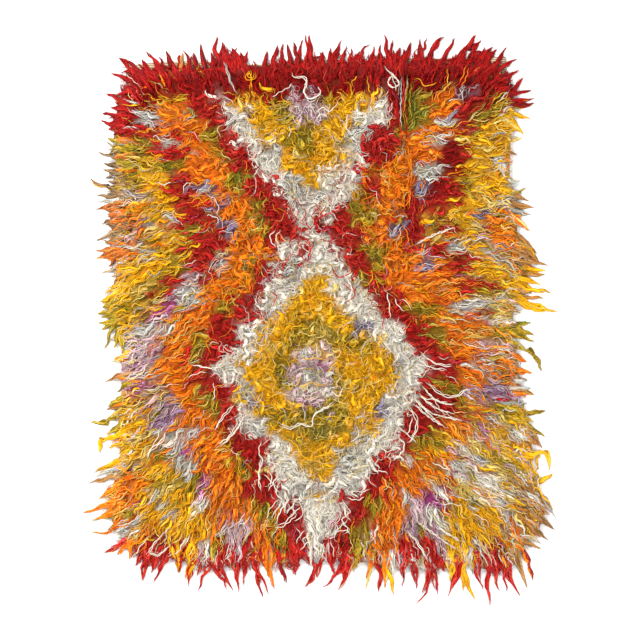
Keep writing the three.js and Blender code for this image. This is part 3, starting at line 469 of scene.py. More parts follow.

# Loose single wisps that lie over the pile, by wool: the points of each, in pixels.
THREADS = {
    "white": [
        [
            (290, 67), (294, 77), (303, 77), (307, 82), (305, 92), (309, 98), (316, 96), (319, 92),
            (316, 86), (322, 87),
        ],
        [(294, 78), (288, 88), (276, 96), (270, 99)],
        [(336, 97), (336, 104), (330, 111), (322, 109), (313, 116)],
        [(347, 110), (347, 125), (354, 139)],
        [(288, 123), (290, 133), (287, 140)],
        [(383, 62), (388, 70), (396, 78), (399, 84), (394, 88), (388, 84), (391, 78), (397, 80), (400, 92)],
        [(277, 230), (271, 238), (278, 250)],
        [(281, 228), (275, 238), (282, 248), (290, 250)],
        [(418, 352), (436, 363), (458, 365)],
        [(416, 356), (432, 368), (452, 371)],
        [(420, 375), (440, 393), (455, 396), (466, 389), (473, 394), (480, 387)],
        [(414, 396), (430, 412), (448, 418), (467, 424)],
        [(416, 392), (436, 408), (462, 416)],
        [(412, 400), (426, 416), (446, 426)],
        [(412, 415), (409, 430), (403, 438)],
        [(412, 245), (432, 236), (458, 228)],
        [(230, 360), (213, 368), (188, 364)],
        [(212, 374), (202, 371), (184, 380)],
        [(246, 410), (236, 430), (218, 450)],
        [(213, 380), (214, 395), (210, 404)],
        [(162, 427), (158, 440), (143, 456)],
        [(166, 430), (163, 440), (150, 452), (146, 462)],
        [(340, 270), (352, 288), (350, 300), (362, 306)],
        [(260, 455), (260, 480), (262, 495)],
        [(283, 495), (270, 510), (265, 525)],
        [(300, 510), (283, 527), (273, 528)],
        [(350, 515), (338, 530), (331, 540)],
        [(387, 290), (389, 305), (390, 322)],
        [(394, 298), (398, 306), (406, 312)],
        [(170, 528), (158, 540), (150, 552), (158, 556), (168, 548), (176, 540)],
        [(188, 536), (182, 544), (178, 552), (170, 556)],
        [(150, 534), (140, 546), (134, 560)],
        [(150, 140), (156, 136), (162, 142), (170, 144)],
        [(436, 505), (448, 503), (463, 506)],
        [(330, 388), (340, 396), (345, 384)],
        [(272, 421), (290, 428), (300, 424), (312, 427), (315, 415), (332, 405), (340, 395)],
        [(240, 420), (228, 436), (214, 446)],
        [(236, 404), (222, 418), (212, 436)],
        [(392, 432), (404, 444), (398, 456), (388, 462)],
        [(396, 425), (410, 436), (418, 448)],
        [(408, 392), (424, 408), (440, 424), (452, 430)],
        [(405, 402), (416, 420), (412, 436), (404, 446)],
        [(280, 480), (276, 492), (282, 500), (275, 512), (268, 522)],
        [(285, 488), (288, 500), (281, 510), (274, 526)],
        [(300, 505), (292, 515), (284, 524), (274, 528)],
        [(305, 530), (299, 536), (295, 546)],
        [(308, 534), (303, 540), (306, 546)],
        [(313, 540), (304, 545), (298, 552)],
        [(345, 505), (350, 512), (342, 520), (348, 530), (338, 536)],
        [(336, 532), (345, 530), (352, 534)],
        [(372, 460), (375, 470), (384, 472), (390, 478)],
        [(380, 455), (376, 464), (383, 470)],
        [(420, 384), (434, 398), (446, 404), (458, 404)],
        [(262, 440), (258, 452), (262, 462), (258, 474)],
        [(268, 146), (260, 140), (250, 142), (244, 138)],
        [(262, 168), (254, 160), (246, 160)],
        [(340, 488), (352, 492), (364, 492), (372, 488)],
        [(346, 498), (358, 500), (366, 496)],
        [(318, 548), (314, 556), (318, 564)],
        [(324, 546), (324, 556), (328, 564)],
        [(330, 540), (334, 550), (332, 560)],
        [(292, 500), (294, 510), (288, 518)],
        [(296, 498), (302, 508), (300, 518), (292, 522)],
        [(424, 392), (434, 400), (442, 412), (452, 416)],
        [(428, 396), (440, 402), (452, 400)],
        [(412, 517), (428, 530), (446, 542), (462, 552)],
        [(405, 530), (416, 540), (424, 552), (430, 562)],
        [(430, 522), (448, 532), (462, 544)],
        [(262, 474), (270, 480), (276, 488), (284, 492)],
        [(268, 470), (272, 478), (270, 488)],
        [(280, 470), (274, 482), (266, 494)],
        [(284, 502), (292, 508), (298, 516)],
        [(298, 498), (290, 508), (284, 518)],
        [(428, 460), (440, 466), (452, 472)],
        [(418, 392), (428, 402), (436, 408)],
        [(420, 398), (430, 400), (440, 398)],
    ],
    "red": [
        [(280, 197), (288, 208), (298, 225)],
        [(290, 195), (298, 202), (303, 210)],
        [(315, 212), (305, 220), (311, 230), (321, 218), (345, 208)],
        [(293, 232), (300, 238), (309, 243), (310, 262)],
        [(299, 240), (303, 257), (317, 265)],
        [(316, 245), (322, 240), (332, 244), (330, 236)],
        [(330, 265), (338, 276), (350, 270), (343, 252)],
        [(357, 282), (354, 298), (340, 303)],
        [(382, 300), (384, 316), (382, 334)],
        [(268, 290), (276, 296), (272, 306)],
        [(300, 232), (290, 240), (293, 252)],
        [(300, 205), (306, 214), (300, 222), (308, 228)],
        [(322, 216), (316, 226), (324, 232), (318, 240)],
        [(290, 212), (296, 220), (290, 228)],
        [(330, 222), (326, 230), (332, 238), (326, 246)],
        [(308, 236), (314, 246), (308, 256), (312, 268)],
        [(298, 196), (292, 206), (298, 214), (292, 222)],
        [(312, 200), (318, 208), (312, 216), (318, 226)],
        [(284, 206), (288, 216), (284, 226)],
        [(326, 206), (322, 214), (330, 220)],
        [(296, 226), (302, 232), (298, 242), (304, 250)],
        [(402, 66), (404, 90), (402, 112), (404, 130)],
        [(399, 80), (397, 104), (400, 128), (398, 150)],
        [(388, 92), (396, 112), (401, 124)],
        [(417, 102), (430, 106), (438, 118), (444, 126)],
        [(412, 182), (414, 205), (412, 228), (414, 244)],
        [(346, 278), (352, 286), (358, 294)],
        [(340, 282), (350, 288), (356, 298)],
        [(254, 162), (260, 170), (268, 176)],
        [(286, 552), (292, 560), (298, 568)],
    ],
    "gold": [
        [(255, 66), (254, 78), (247, 78), (250, 71), (252, 84), (250, 97)],
        [(360, 73), (351, 83), (356, 88)],
        [(367, 74), (369, 92), (374, 96)],
        [(412, 80), (418, 78), (426, 86), (438, 82)],
        [(312, 485), (308, 496), (300, 502)],
        [(275, 433), (295, 443), (305, 457), (325, 455), (340, 459)],
        [(335, 445), (350, 444), (358, 448)],
        [(296, 352), (306, 358), (316, 356), (328, 362)],
        [(332, 380), (320, 386), (310, 384), (298, 391)],
        [(340, 358), (332, 366), (328, 378)],
    ],
    "orange": [
        [(408, 180), (409, 200), (404, 206), (396, 204)],
        [(398, 222), (405, 228), (408, 240), (402, 246)],
        [(182, 460), (190, 452), (193, 440), (196, 428)],
        [(200, 470), (196, 458), (200, 446)],
        [(466, 62), (464, 74), (460, 84)],
        [(240, 520), (250, 514), (254, 524), (246, 534)],
        [(408, 140), (411, 165), (409, 188), (408, 214)],
        [(470, 64), (466, 78), (459, 90)],
        [(371, 172), (384, 168), (398, 162)],
    ],
    "grey": [
        [(222, 55), (231, 83), (243, 100)],
        [(403, 70), (402, 90), (400, 120), (404, 135)],
        [(444, 497), (458, 496), (475, 500)],
        [(110, 414), (122, 414), (133, 407)],
        [(303, 400), (305, 412), (304, 422)],
        [(455, 250), (460, 242), (470, 240), (476, 246)],
        [(386, 66), (393, 80), (398, 98)],
        [(410, 72), (406, 92), (403, 110)],
    ],
    "indigo": [
        [(455, 82), (457, 92), (462, 102)],
        [(240, 468), (247, 460), (252, 464)],
    ],
    "olive": [
        [(407, 70), (408, 90), (405, 112), (408, 130)],
        [(352, 190), (356, 184), (362, 190), (358, 198)],
        [(412, 74), (410, 98), (412, 124)],
        [(458, 172), (464, 184), (470, 196), (472, 206)],
        [(298, 372), (308, 368), (318, 372), (326, 368)],
    ],
    "crimson": [
        [(406, 70), (404, 96), (406, 124), (404, 150)],
        [(394, 84), (398, 110), (399, 132)],
    ],
    "straw": [
        [(150, 524), (157, 532), (162, 542)],
        [(290, 336), (300, 332), (312, 336), (322, 330)],
        [(330, 420), (320, 426), (308, 422), (298, 428)],
    ],
}

# How the locks lie, in pixels and degrees: the heading at each place, with 90 towards the far end,
# and the curl there, from 0 where they lie combed to 1 where they curl every way.
Flow = namedtuple("Flow", "x y heading curl", defaults=[0.1])
FLOWS = [Flow(*row) for row in [
    (112, 100, 165, 0.25), (130, 80, 140, 0.25), (165, 72, 112, 0.38), (220, 70, 98, 0.38),
    (280, 70, 93, 0.38), (340, 70, 92, 0.38), (400, 70, 84, 0.38), (450, 72, 72, 0.34),
    (495, 75, 50, 0.25), (528, 95, 18, 0.2), (112, 140, 176, 0.2), (165, 120, 184, 0.35),
    (215, 130, 200, 0.5), (110, 190, 186, 0.2), (180, 180, 192, 0.4), (108, 250, 200),
    (160, 250, 200, 0.2), (112, 310, 206), (170, 310, 210, 0.3), (108, 370, 200), (165, 370, 206, 0.3),
    (112, 430, 203), (170, 430, 222, 0.2), (105, 490, 200), (160, 490, 226, 0.15), (120, 545, 215),
    (205, 500, 246, 0.15), (215, 440, 238, 0.4), (160, 565, 240), (215, 570, 260), (265, 565, 264),
    (320, 570, 270), (370, 565, 270), (420, 565, 276), (470, 570, 287), (520, 565, 304), (548, 540, 318),
    (262, 520, 262, 0.3), (390, 520, 270, 0.25), (430, 500, 300, 0.2), (535, 150, 0, 0.15), (540, 200, -8),
    (545, 250, -16), (555, 300, -12), (545, 345, -14), (540, 400, -32), (545, 440, -36), (550, 480, -35),
    (560, 520, -40), (460, 130, -8, 0.4), (470, 190, -6, 0.3), (445, 285, 2, 0.2), (480, 320, -10, 0.15),
    (470, 380, -22, 0.2), (460, 430, -38, 0.15), (470, 480, -30, 0.15), (460, 530, -52, 0.15),
    (300, 120, 80, 1), (250, 150, 160, 0.8), (350, 150, 20, 0.8), (310, 190, 90, 1), (270, 215, 150, 0.9),
    (350, 225, 30, 0.9), (300, 290, 90, 1), (340, 290, 90, 1), (270, 350, 170, 1), (370, 350, 10, 1),
    (320, 400, 90, 1), (255, 420, 210, 0.9), (375, 420, 330, 0.9), (320, 470, 270, 0.8),
    (400, 220, 10, 0.7), (400, 350, 0, 0.6), (230, 340, 180, 0.6), (240, 270, 180, 0.7),
    (320, 530, 270, 0.4),
]]
FLOW_REACH = 26
FLOW_FLOOR = 1e-6

# The pile's edge as seen from above, in pixels and side by side, and the line that the far side's locks
# reach past it.
RIM_PIXELS = {
    "far": [
        (128, 71), (225, 65), (320, 63), (422, 61), (500, 65),
    ],
    "right": [
        (500, 65), (510, 82), (514, 95), (515, 110), (512, 122), (512, 138), (512, 150), (511, 160),
        (511, 176), (514, 185), (517, 200), (514, 212), (519, 222), (518, 235), (529, 250), (532, 262),
        (526, 272), (521, 285), (522, 300), (512, 315), (517, 330), (519, 345), (516, 360), (518, 375),
        (521, 390), (520, 405), (527, 420), (534, 435), (533, 450), (530, 465), (536, 480), (543, 500),
        (546, 515), (541, 530), (527, 545), (519, 558), (517, 566),
    ],
    "near": [
        (517, 566), (500, 571), (485, 571), (470, 565), (455, 568), (440, 571), (430, 574), (412, 568),
        (400, 571), (385, 568), (365, 564), (350, 566), (335, 562), (320, 561), (305, 559), (290, 566),
        (270, 566), (250, 562), (235, 566), (218, 570), (207, 568), (195, 566), (180, 562), (165, 559),
        (150, 561), (140, 557), (137, 556),
    ],
    "left": [
        (137, 556), (126, 545), (113, 530), (108, 515), (109, 500), (113, 485), (112, 470), (119, 455),
        (118, 440), (117, 420), (120, 400), (120, 375), (120, 350), (116, 335), (109, 320), (107, 300),
        (114, 280), (116, 262), (108, 250), (111, 235), (108, 215), (112, 200), (113, 182), (113, 165),
        (112, 140), (114, 115), (118, 100), (123, 84), (128, 71),
    ],
}
RIM_SIDES = {name: line_from_pixels(side) for name, side in RIM_PIXELS.items()}
RIM = np.concatenate([side[:-1] for side in RIM_SIDES.values()])
FAR_TIPS = line_from_pixels([
    (128, 74), (133, 67), (140, 64), (165, 59), (190, 57), (215, 51), (225, 44), (235, 48), (245, 56),
    (262, 59), (283, 52), (300, 52), (310, 48), (330, 49), (345, 47), (365, 45), (380, 48), (390, 42),
    (400, 54), (415, 43), (435, 55), (445, 55), (455, 51), (465, 47), (490, 47), (502, 57), (509, 66),
])

# Heights of the pile, as in the solids.
PILE_HEIGHT = 0.045
RIM_HEIGHT = 0.014
RIM_WIDTH = 0.085
FLOOR_HEIGHT = 0.004
APRON = 0.028
Lump = namedtuple("Lump", "length heading shift height")
LUMPS = [
    Lump(length=0.330, heading=24, shift=0.4, height=0.0028),
    Lump(length=0.214, heading=102, shift=2.1, height=0.0030),
    Lump(length=0.158, heading=157, shift=4.3, height=0.0032),
    Lump(length=0.127, heading=62, shift=1.2, height=0.0034),
]
PARTING_X = 0.250
PARTING_SPAN = (0.150, 0.670)
PARTING_FADE = 0.06
PARTING_WIDTH = 0.034
PARTING_DEPTH = 0.011

# The woven ground.
GROUND_CORNERS = {
    "far_left": (-0.556, 0.708),
    "far_right": (0.534, 0.732),
    "near_right": (0.572, -0.690),
    "near_left": (-0.566, -0.680),
}
GROUND_SPAN = (-0.572, 0.578, -0.696, 0.736)
GROUND_THICKNESS = 0.003

# The waves that drift adds up, and their lengths as shares of the size of its bumps.
DRIFT_WAVES = 7
DRIFT_LENGTHS = (0.7, 1.7)


def smoothstep(value, low, high):
    """0 at low and 1 at high, with a soft rise between."""
    share = np.clip((value - low) / (high - low), 0, 1)
    return share * share * (3 - 2 * share)


def drift(x, y, size, seed):
    """Smooth uneven values from about -1 to 1 over the rug, with bumps of about that size."""
    own = np.random.default_rng(seed)
    headings = own.uniform(0, math.pi, DRIFT_WAVES)
    lengths = own.uniform(*DRIFT_LENGTHS, DRIFT_WAVES)
    shifts = own.uniform(*ANY_SHIFT, DRIFT_WAVES)
    total = np.zeros(np.shape(x))
    for heading, length, shift in zip(headings, lengths, shifts):
        run = x * math.cos(heading) + y * math.sin(heading)
        total += np.sin(FULL_TURN * run / (size * length) + shift)
    return total / math.sqrt(DRIFT_WAVES)


def line_length(line):
    return np.linalg.norm(np.diff(line, axis=0), axis=1).sum()


def curve_places(points, shares):
    """Places along a line of points, at shares of its length."""
    around = np.concatenate([[0], np.cumsum(np.linalg.norm(np.diff(points, axis=0), axis=1))])
    return np.stack([np.interp(shares * around[-1], around, points[:, axis]) for axis in (0, 1)], axis=-1)


def inset_from_rim(x, y):
    """How far inside the pile's edge each place lies. It is negative outside."""
    nearest = np.full(x.shape, FAR_AWAY)
    inside = np.zeros(x.shape, bool)
    for start, end in zip(RIM, np.roll(RIM, -1, axis=0)):
        run = end - start
        share = np.clip(((x - start[0]) * run[0] + (y - start[1]) * run[1]) / (run @ run), 0, 1)
        nearest = np.minimum(nearest, np.hypot(x - start[0] - share * run[0], y - start[1] - share * run[1]))
        crosses = (start[1] > y) != (end[1] > y)
        slope = run[0] / run[1] if run[1] else 0.0
        inside ^= crosses & (x < start[0] + slope * (y - start[1]))
    return np.where(inside, nearest, -nearest)


def lumps(x, y):
    """The uneven part of the pile's height: a sum of long waves."""
    total = np.zeros(x.shape)
    for lump in LUMPS:
        heading = math.radians(lump.heading)
        run = x * math.cos(heading) + y * math.sin(heading)
        total += lump.height * np.sin(FULL_TURN * run / lump.length + lump.shift)
    return total


def parting(x, y):
    """The depth of the parting, a shallow trough along the pile."""
    start, end = PARTING_SPAN
    within = smoothstep(y, start - PARTING_FADE, start + PARTING_FADE)
    within = within - smoothstep(y, end - PARTING_FADE, end + PARTING_FADE)
    return PARTING_DEPTH * within * np.exp(-(((x - PARTING_X) / PARTING_WIDTH) ** 2))


def pile_surface(x, y):
    """The height of the pile's upper face, round at the rim and down to the floor outside it."""
    inset = inset_from_rim(x, y)
    reach = np.clip(inset / RIM_WIDTH, 0, 1)
    rise = PILE_HEIGHT - RIM_HEIGHT + lumps(x, y) - parting(x, y)
    upper = RIM_HEIGHT + rise * np.sqrt(1 - (1 - reach) ** 2)
    outer = FLOOR_HEIGHT + (RIM_HEIGHT - FLOOR_HEIGHT) * smoothstep(inset, -APRON, 0)
    return np.where(inset > 0, upper, outer)


def flow_at(x, y):
    """The way the locks lie at each place, in radians, and how much they curl."""
    px, py = to_pixel(x, y)
    ahead = np.zeros(x.shape)
    aside = np.zeros(x.shape)
    curl = np.zeros(x.shape)
    total = np.full(x.shape, TINY)
    for flow in FLOWS:
        distance = (px - flow.x) ** 2 + (py - flow.y) ** 2
        weight = np.exp(-distance / (2 * FLOW_REACH**2)) + FLOW_FLOOR
        ahead += weight * math.cos(math.radians(flow.heading))
        aside += weight * math.sin(math.radians(flow.heading))
        curl += weight * flow.curl
        total += weight
    return np.arctan2(aside, ahead), curl / total


def lozenge_reach(px, py):
    """How far out from the nearest lozenge's middle each pixel lies, where 1 is that lozenge's edge."""
    reach = np.full(px.shape, FAR_AWAY)
    for lozenge in LOZENGES:
        across = np.where(px < lozenge.x, (lozenge.x - px) / lozenge.left, (px - lozenge.x) / lozenge.right)
        along = np.where(py < lozenge.y, (lozenge.y - py) / lozenge.up, (py - lozenge.y) / lozenge.down)
        reach = np.minimum(reach, across + along)
    return reach


def ring_chances(px, py):
    """How likely each wool is by the rings alone, one column a wool."""
    reach = lozenge_reach(px, py)
    chances = np.zeros(px.shape + (len(WOOLS),))
    inner = 0.0
    for ring in RINGS:
        within = (reach >= inner) & (reach < ring.reach)
        for wool, share in ring.wools.items():
            chances[..., WOOL_NAMES.index(wool)] += within * share
        inner = ring.reach
    return chances


def patch_weight(patch, px, py):
    """How much a patch counts at each pixel: 1 at its middle, and less towards its edge and past it."""
    tilt = math.radians(patch.tilt)
    run = (px - patch.x) * math.cos(tilt) - (py - patch.y) * math.sin(tilt)
    rise = (px - patch.x) * math.sin(tilt) + (py - patch.y) * math.cos(tilt)
    distance = (run / patch.along) ** 2 + (rise / patch.across) ** 2
    return np.exp(-PATCH_STEEPNESS * distance**PATCH_POWER)


def wool_chances(x, y):
    """How likely each wool is at each place, one column a wool."""
    px, py = to_pixel(x, y)
    px = px + COLOUR_WANDER * drift(x, y, COLOUR_BUMPS, seed=5)
    py = py + COLOUR_WANDER * drift(x, y, COLOUR_BUMPS, seed=6)
    chances = ring_chances(px, py)
    for strength, table in ((PATCH_STRENGTH, PATCHES), (BLEND_STRENGTH, BLENDS)):
        for wool, patches in table.items():
            for patch in patches:
                chances[..., WOOL_NAMES.index(wool)] += strength * patch_weight(patch, px, py)
    sharpness = MIXING + (SIDE_MIXING - MIXING) * smoothstep(np.abs(x), *SIDE_SPAN)
    chances = chances ** sharpness[..., None]
    return chances / chances.sum(axis=-1, keepdims=True)


def pick(chances):
    """One wool for each row of chances, as its index in WOOL_NAMES."""
    steps = np.cumsum(chances, axis=-1)
    drawn = dice.random(steps.shape[:-1])
    return np.minimum((drawn[..., None] > steps).sum(axis=-1), len(WOOLS) - 1)


def pick_wools(x, y):
    """One wool for each place."""
    return pick(wool_chances(x, y))


def companions(wools):
    """For each wool the wool of a strand that lies beside it."""
    return pick(COMPANION_CHANCES[wools])


def linear(levels):
    """An sRGB colour of 0 to 255 levels as a linear RGBA colour, by the sRGB curve."""
    shares = np.array(levels) / 255
    curved = np.where(shares <= 0.04045, shares / 12.92, ((shares + 0.055) / 1.055) ** 2.4)
    return [*curved.tolist(), 1.0]


# Locks are grown as paths and then given thickness. Each path has this many stations, root to tip.
STATIONS = 10
SHARES = np.linspace(0, 1, STATIONS)

# Which share of a lock's length lies at the place that it is grown for.
SHOWN = 0.6
SHOWN_TIP = 1.0

# The second, shorter wave of a path, beside its first one.
RIPPLE_LENGTH = 0.57
RIPPLE_SIZE = 0.5
RIPPLE_SHIFT = 2.6

# How a lock is raised: where the pile counts as its inner part, by the inset, how much of the lift the
# rim gets, and how fast a lock comes up from its root.
INNER_SPAN = (-0.01, 0.05)
RIM_LIFT = 0.25
ROOT_POWER = 1.8

# The paths of several locks, their widths and heights at each station, their shading tones from painted shade
# to painted highlight, and their wools.
Batch = namedtuple("Batch", "paths widths heights tones wools", defaults=[None])
Wave = namedtuple("Wave", "size length shift")


def grow(x, y, heading, length, bend, wave, shown):
    """Paths of locks, each turning as it goes. The share shown of each one's length lies at its place."""
    run = SHARES * length[:, None]
    size, wave_length, shift = (values[:, None] for values in wave)
    turn = heading[:, None] + bend[:, None] * (SHARES - shown)
    turn = turn + size * np.sin(FULL_TURN * run / wave_length + shift)
    ripple = FULL_TURN * run / (RIPPLE_LENGTH * wave_length)
    turn = turn + RIPPLE_SIZE * size * np.sin(ripple + RIPPLE_SHIFT * shift)
    step = length[:, None] / (STATIONS - 1)
    path_x = np.cumsum(np.cos(turn) * step, axis=1)
    path_y = np.cumsum(np.sin(turn) * step, axis=1)
    at = round(shown * (STATIONS - 1))
    path_x += x[:, None] - path_x[:, at:at + 1]
    path_y += y[:, None] - path_y[:, at:at + 1]
    return np.stack([path_x, path_y, np.zeros(path_x.shape)], axis=2)


def over_ground(x, y):
    """1 where a place lies over the woven ground, and 0 outside it."""
    low_x, high_x, low_y, high_y = GROUND_SPAN
    return ((x > low_x) & (x < high_x) & (y > low_y) & (y < high_y)).astype(float)


def lay(paths, lift, depth, thickness):
    """The paths at their heights: deep in the pile at the root, then on its surface or on the floor."""
    x, y = paths[..., 0], paths[..., 1]
    inner = smoothstep(inset_from_rim(x, y), *INNER_SPAN)
    height = pile_surface(x, y) + lift[:, None] * (RIM_LIFT + (1 - RIM_LIFT) * inner)
    height = height - depth[:, None] * inner * (1 - SHARES) ** ROOT_POWER
    lowest = 0.5 * thickness[:, None] + GROUND_THICKNESS * over_ground(x, y)
    return np.stack([x, y, np.maximum(height, lowest)], axis=2)


# The corners of a lock's cross-section, across and upwards, as shares of its half width and height.
BROAD_SECTION = [(1.0, -0.3), (-1.0, -0.3), (-0.55, 0.55), (0.5, 0.6)]
THIN_SECTION = [(1.0, -0.4), (-1.0, -0.4), (0.0, 0.6)]

# The tiles of the baked picture, one for each tube: how many times as long as wide one is, and the
# margins in it, across and along.
TILE_ASPECT = 3
TILE_MARGINS = (0.1, 0.02)

# The map of the wool's streaks, in metres: a tube's girth for each metre of its width, and how far the
# streaks of one tube lie from those of the next, before they start again.
GIRTH = 2.4
STREAK_STEPS = (0.37, 0.73)
STREAK_SPANS = (5, 7)


def tube_points(section, batch):
    """The points of each tapering tube, ring by ring, with a single one at its tip."""
    tangent = np.gradient(batch.paths, axis=1)
    tangent /= np.linalg.norm(tangent, axis=2, keepdims=True) + TINY
    aside = np.stack([-tangent[..., 1], tangent[..., 0], np.zeros(tangent.shape[:2])], axis=2)
    aside /= np.linalg.norm(aside, axis=2, keepdims=True) + TINY
    half = 0.5 * batch.widths[..., None] * aside
    tall = batch.heights[..., None] * np.cross(tangent, aside)
    rings = np.stack([batch.paths + across * half + upward * tall for across, upward in section], axis=2)
    return np.concatenate([rings[:, :-1].reshape(len(rings), -1, 3), batch.paths[:, -1:]], axis=1)


def tube_faces(sides, stations):
    """The quads of one tube and the triangles at its tip and root, as numbers of its points."""
    ring = np.arange(stations - 2)[:, None] * sides
    side = np.arange(sides)
    beside = (side + 1) % sides
    quads = np.stack([ring + side, ring + sides + side, ring + sides + beside, ring + beside], axis=2)
    last = (stations - 2) * sides
    tips = np.stack([last + side, np.full(sides, last + sides), last + beside], axis=1)
    root = [[0, corner, corner + 1] for corner in range(1, sides - 1)]
    return quads.reshape(-1, 4), np.concatenate([tips, root])


def unrolled_tube(sides, stations):
    """How far around the tube and along it each corner of the same faces lies, as shares."""
    side = np.arange(sides)[:, None]
    row = np.arange(stations - 2)[:, None, None]
    around_quads = np.broadcast_to(side + np.array([0, 0, 1, 1]), (stations - 2, sides, 4))
    along_quads = np.broadcast_to(row + np.array([0, 1, 1, 0]), (stations - 2, sides, 4))
    around_tip = side + np.array([0, 0.5, 1])
    along_tip = np.broadcast_to(stations - 2 + np.array([0, 1, 0]), (sides, 3))
    root = tube_faces(sides, stations)[1][sides:]
    around = np.concatenate([around_quads.ravel(), around_tip.ravel(), root.ravel()]) / sides
    along = np.concatenate([along_quads.ravel(), along_tip.ravel(), np.zeros(root.size)]) / (stations - 1)
    return around, along


def set_map(mesh, name, u, v):
    values = np.stack([u, v], axis=-1).reshape(-1).astype(np.float32)
    mesh.uv_layers.new(name=name).data.foreach_set("uv", values)


def set_colours(mesh, name, colours):
    layer = mesh.color_attributes.new(name=name, type="FLOAT_COLOR", domain="POINT")
    layer.data.foreach_set("color", colours.reshape(-1).astype(np.float32))


def add_tube_maps(mesh, batch, around, along):
    """A tile of the baked picture for each tube, and its own length and girth for the streaks of the wool."""
    count = len(batch.paths)
    number = np.arange(count)[:, None]
    columns = math.ceil(math.sqrt(count * TILE_ASPECT))
    rows = math.ceil(count / columns)
    margin_u, margin_v = TILE_MARGINS
    tile_u = number % columns + margin_u + (1 - 2 * margin_u) * around
    tile_v = number // columns + margin_v + (1 - 2 * margin_v) * along
    set_map(mesh, "OFBake", tile_u / columns, tile_v / rows)
    lengths = np.linalg.norm(np.diff(batch.paths, axis=1), axis=2).sum(axis=1)
    girths = GIRTH * batch.widths.max(axis=1)
    start_u, start_v = (number * step % span for step, span in zip(STREAK_STEPS, STREAK_SPANS))
    set_map(mesh, "Strand", start_u + around * girths[:, None], start_v + along * lengths[:, None])


def add_tube_colours(mesh, batch, sides):
    """In the first channel how far along its tube each point lies, and in the second the tube's shading tone,
    from painted shade to painted highlight.
    """
    count, stations, _ = batch.paths.shape
    colours = np.ones((count, (stations - 1) * sides + 1, 4))
    colours[..., 0] = np.append(np.repeat(np.arange(stations - 1), sides), stations - 1) / (stations - 1)
    colours[..., 1] = batch.tones[:, None]
    set_colours(mesh, "Lock", colours)


def tube_mesh(name, section, batch):
    """One mesh of closed tapering tubes, one along each path of a batch."""
    sides = len(section)
    count, stations, _ = batch.paths.shape
    points = tube_points(section, batch)
    quads, triangles = tube_faces(sides, stations)
    one_tube = np.concatenate([quads.ravel(), triangles.ravel()])
    corners = (one_tube + np.arange(count)[:, None] * points.shape[1]).ravel()
    totals = np.tile(np.repeat([4, 3], [len(quads), len(triangles)]), count)
    mesh = bpy.data.meshes.new(name)
    mesh.vertices.add(points.size // 3)
    mesh.vertices.foreach_set("co", points.ravel())
    mesh.loops.add(len(corners))
    mesh.loops.foreach_set("vertex_index", corners)
    mesh.polygons.add(len(totals))
    mesh.polygons.foreach_set("loop_start", np.cumsum(totals) - totals)
    mesh.polygons.foreach_set("loop_total", totals)
    mesh.update(calc_edges=True)
    mesh.shade_smooth()
    add_tube_maps(mesh, batch, *unrolled_tube(sides, stations))
    add_tube_colours(mesh, batch, sides)
    return mesh


# The sockets of a mix node that are for colours: its factor and its two colours, and the mixed one.
COLOUR_MIX_INPUTS = (0, 6, 7)
COLOUR_MIX_OUTPUT = 2


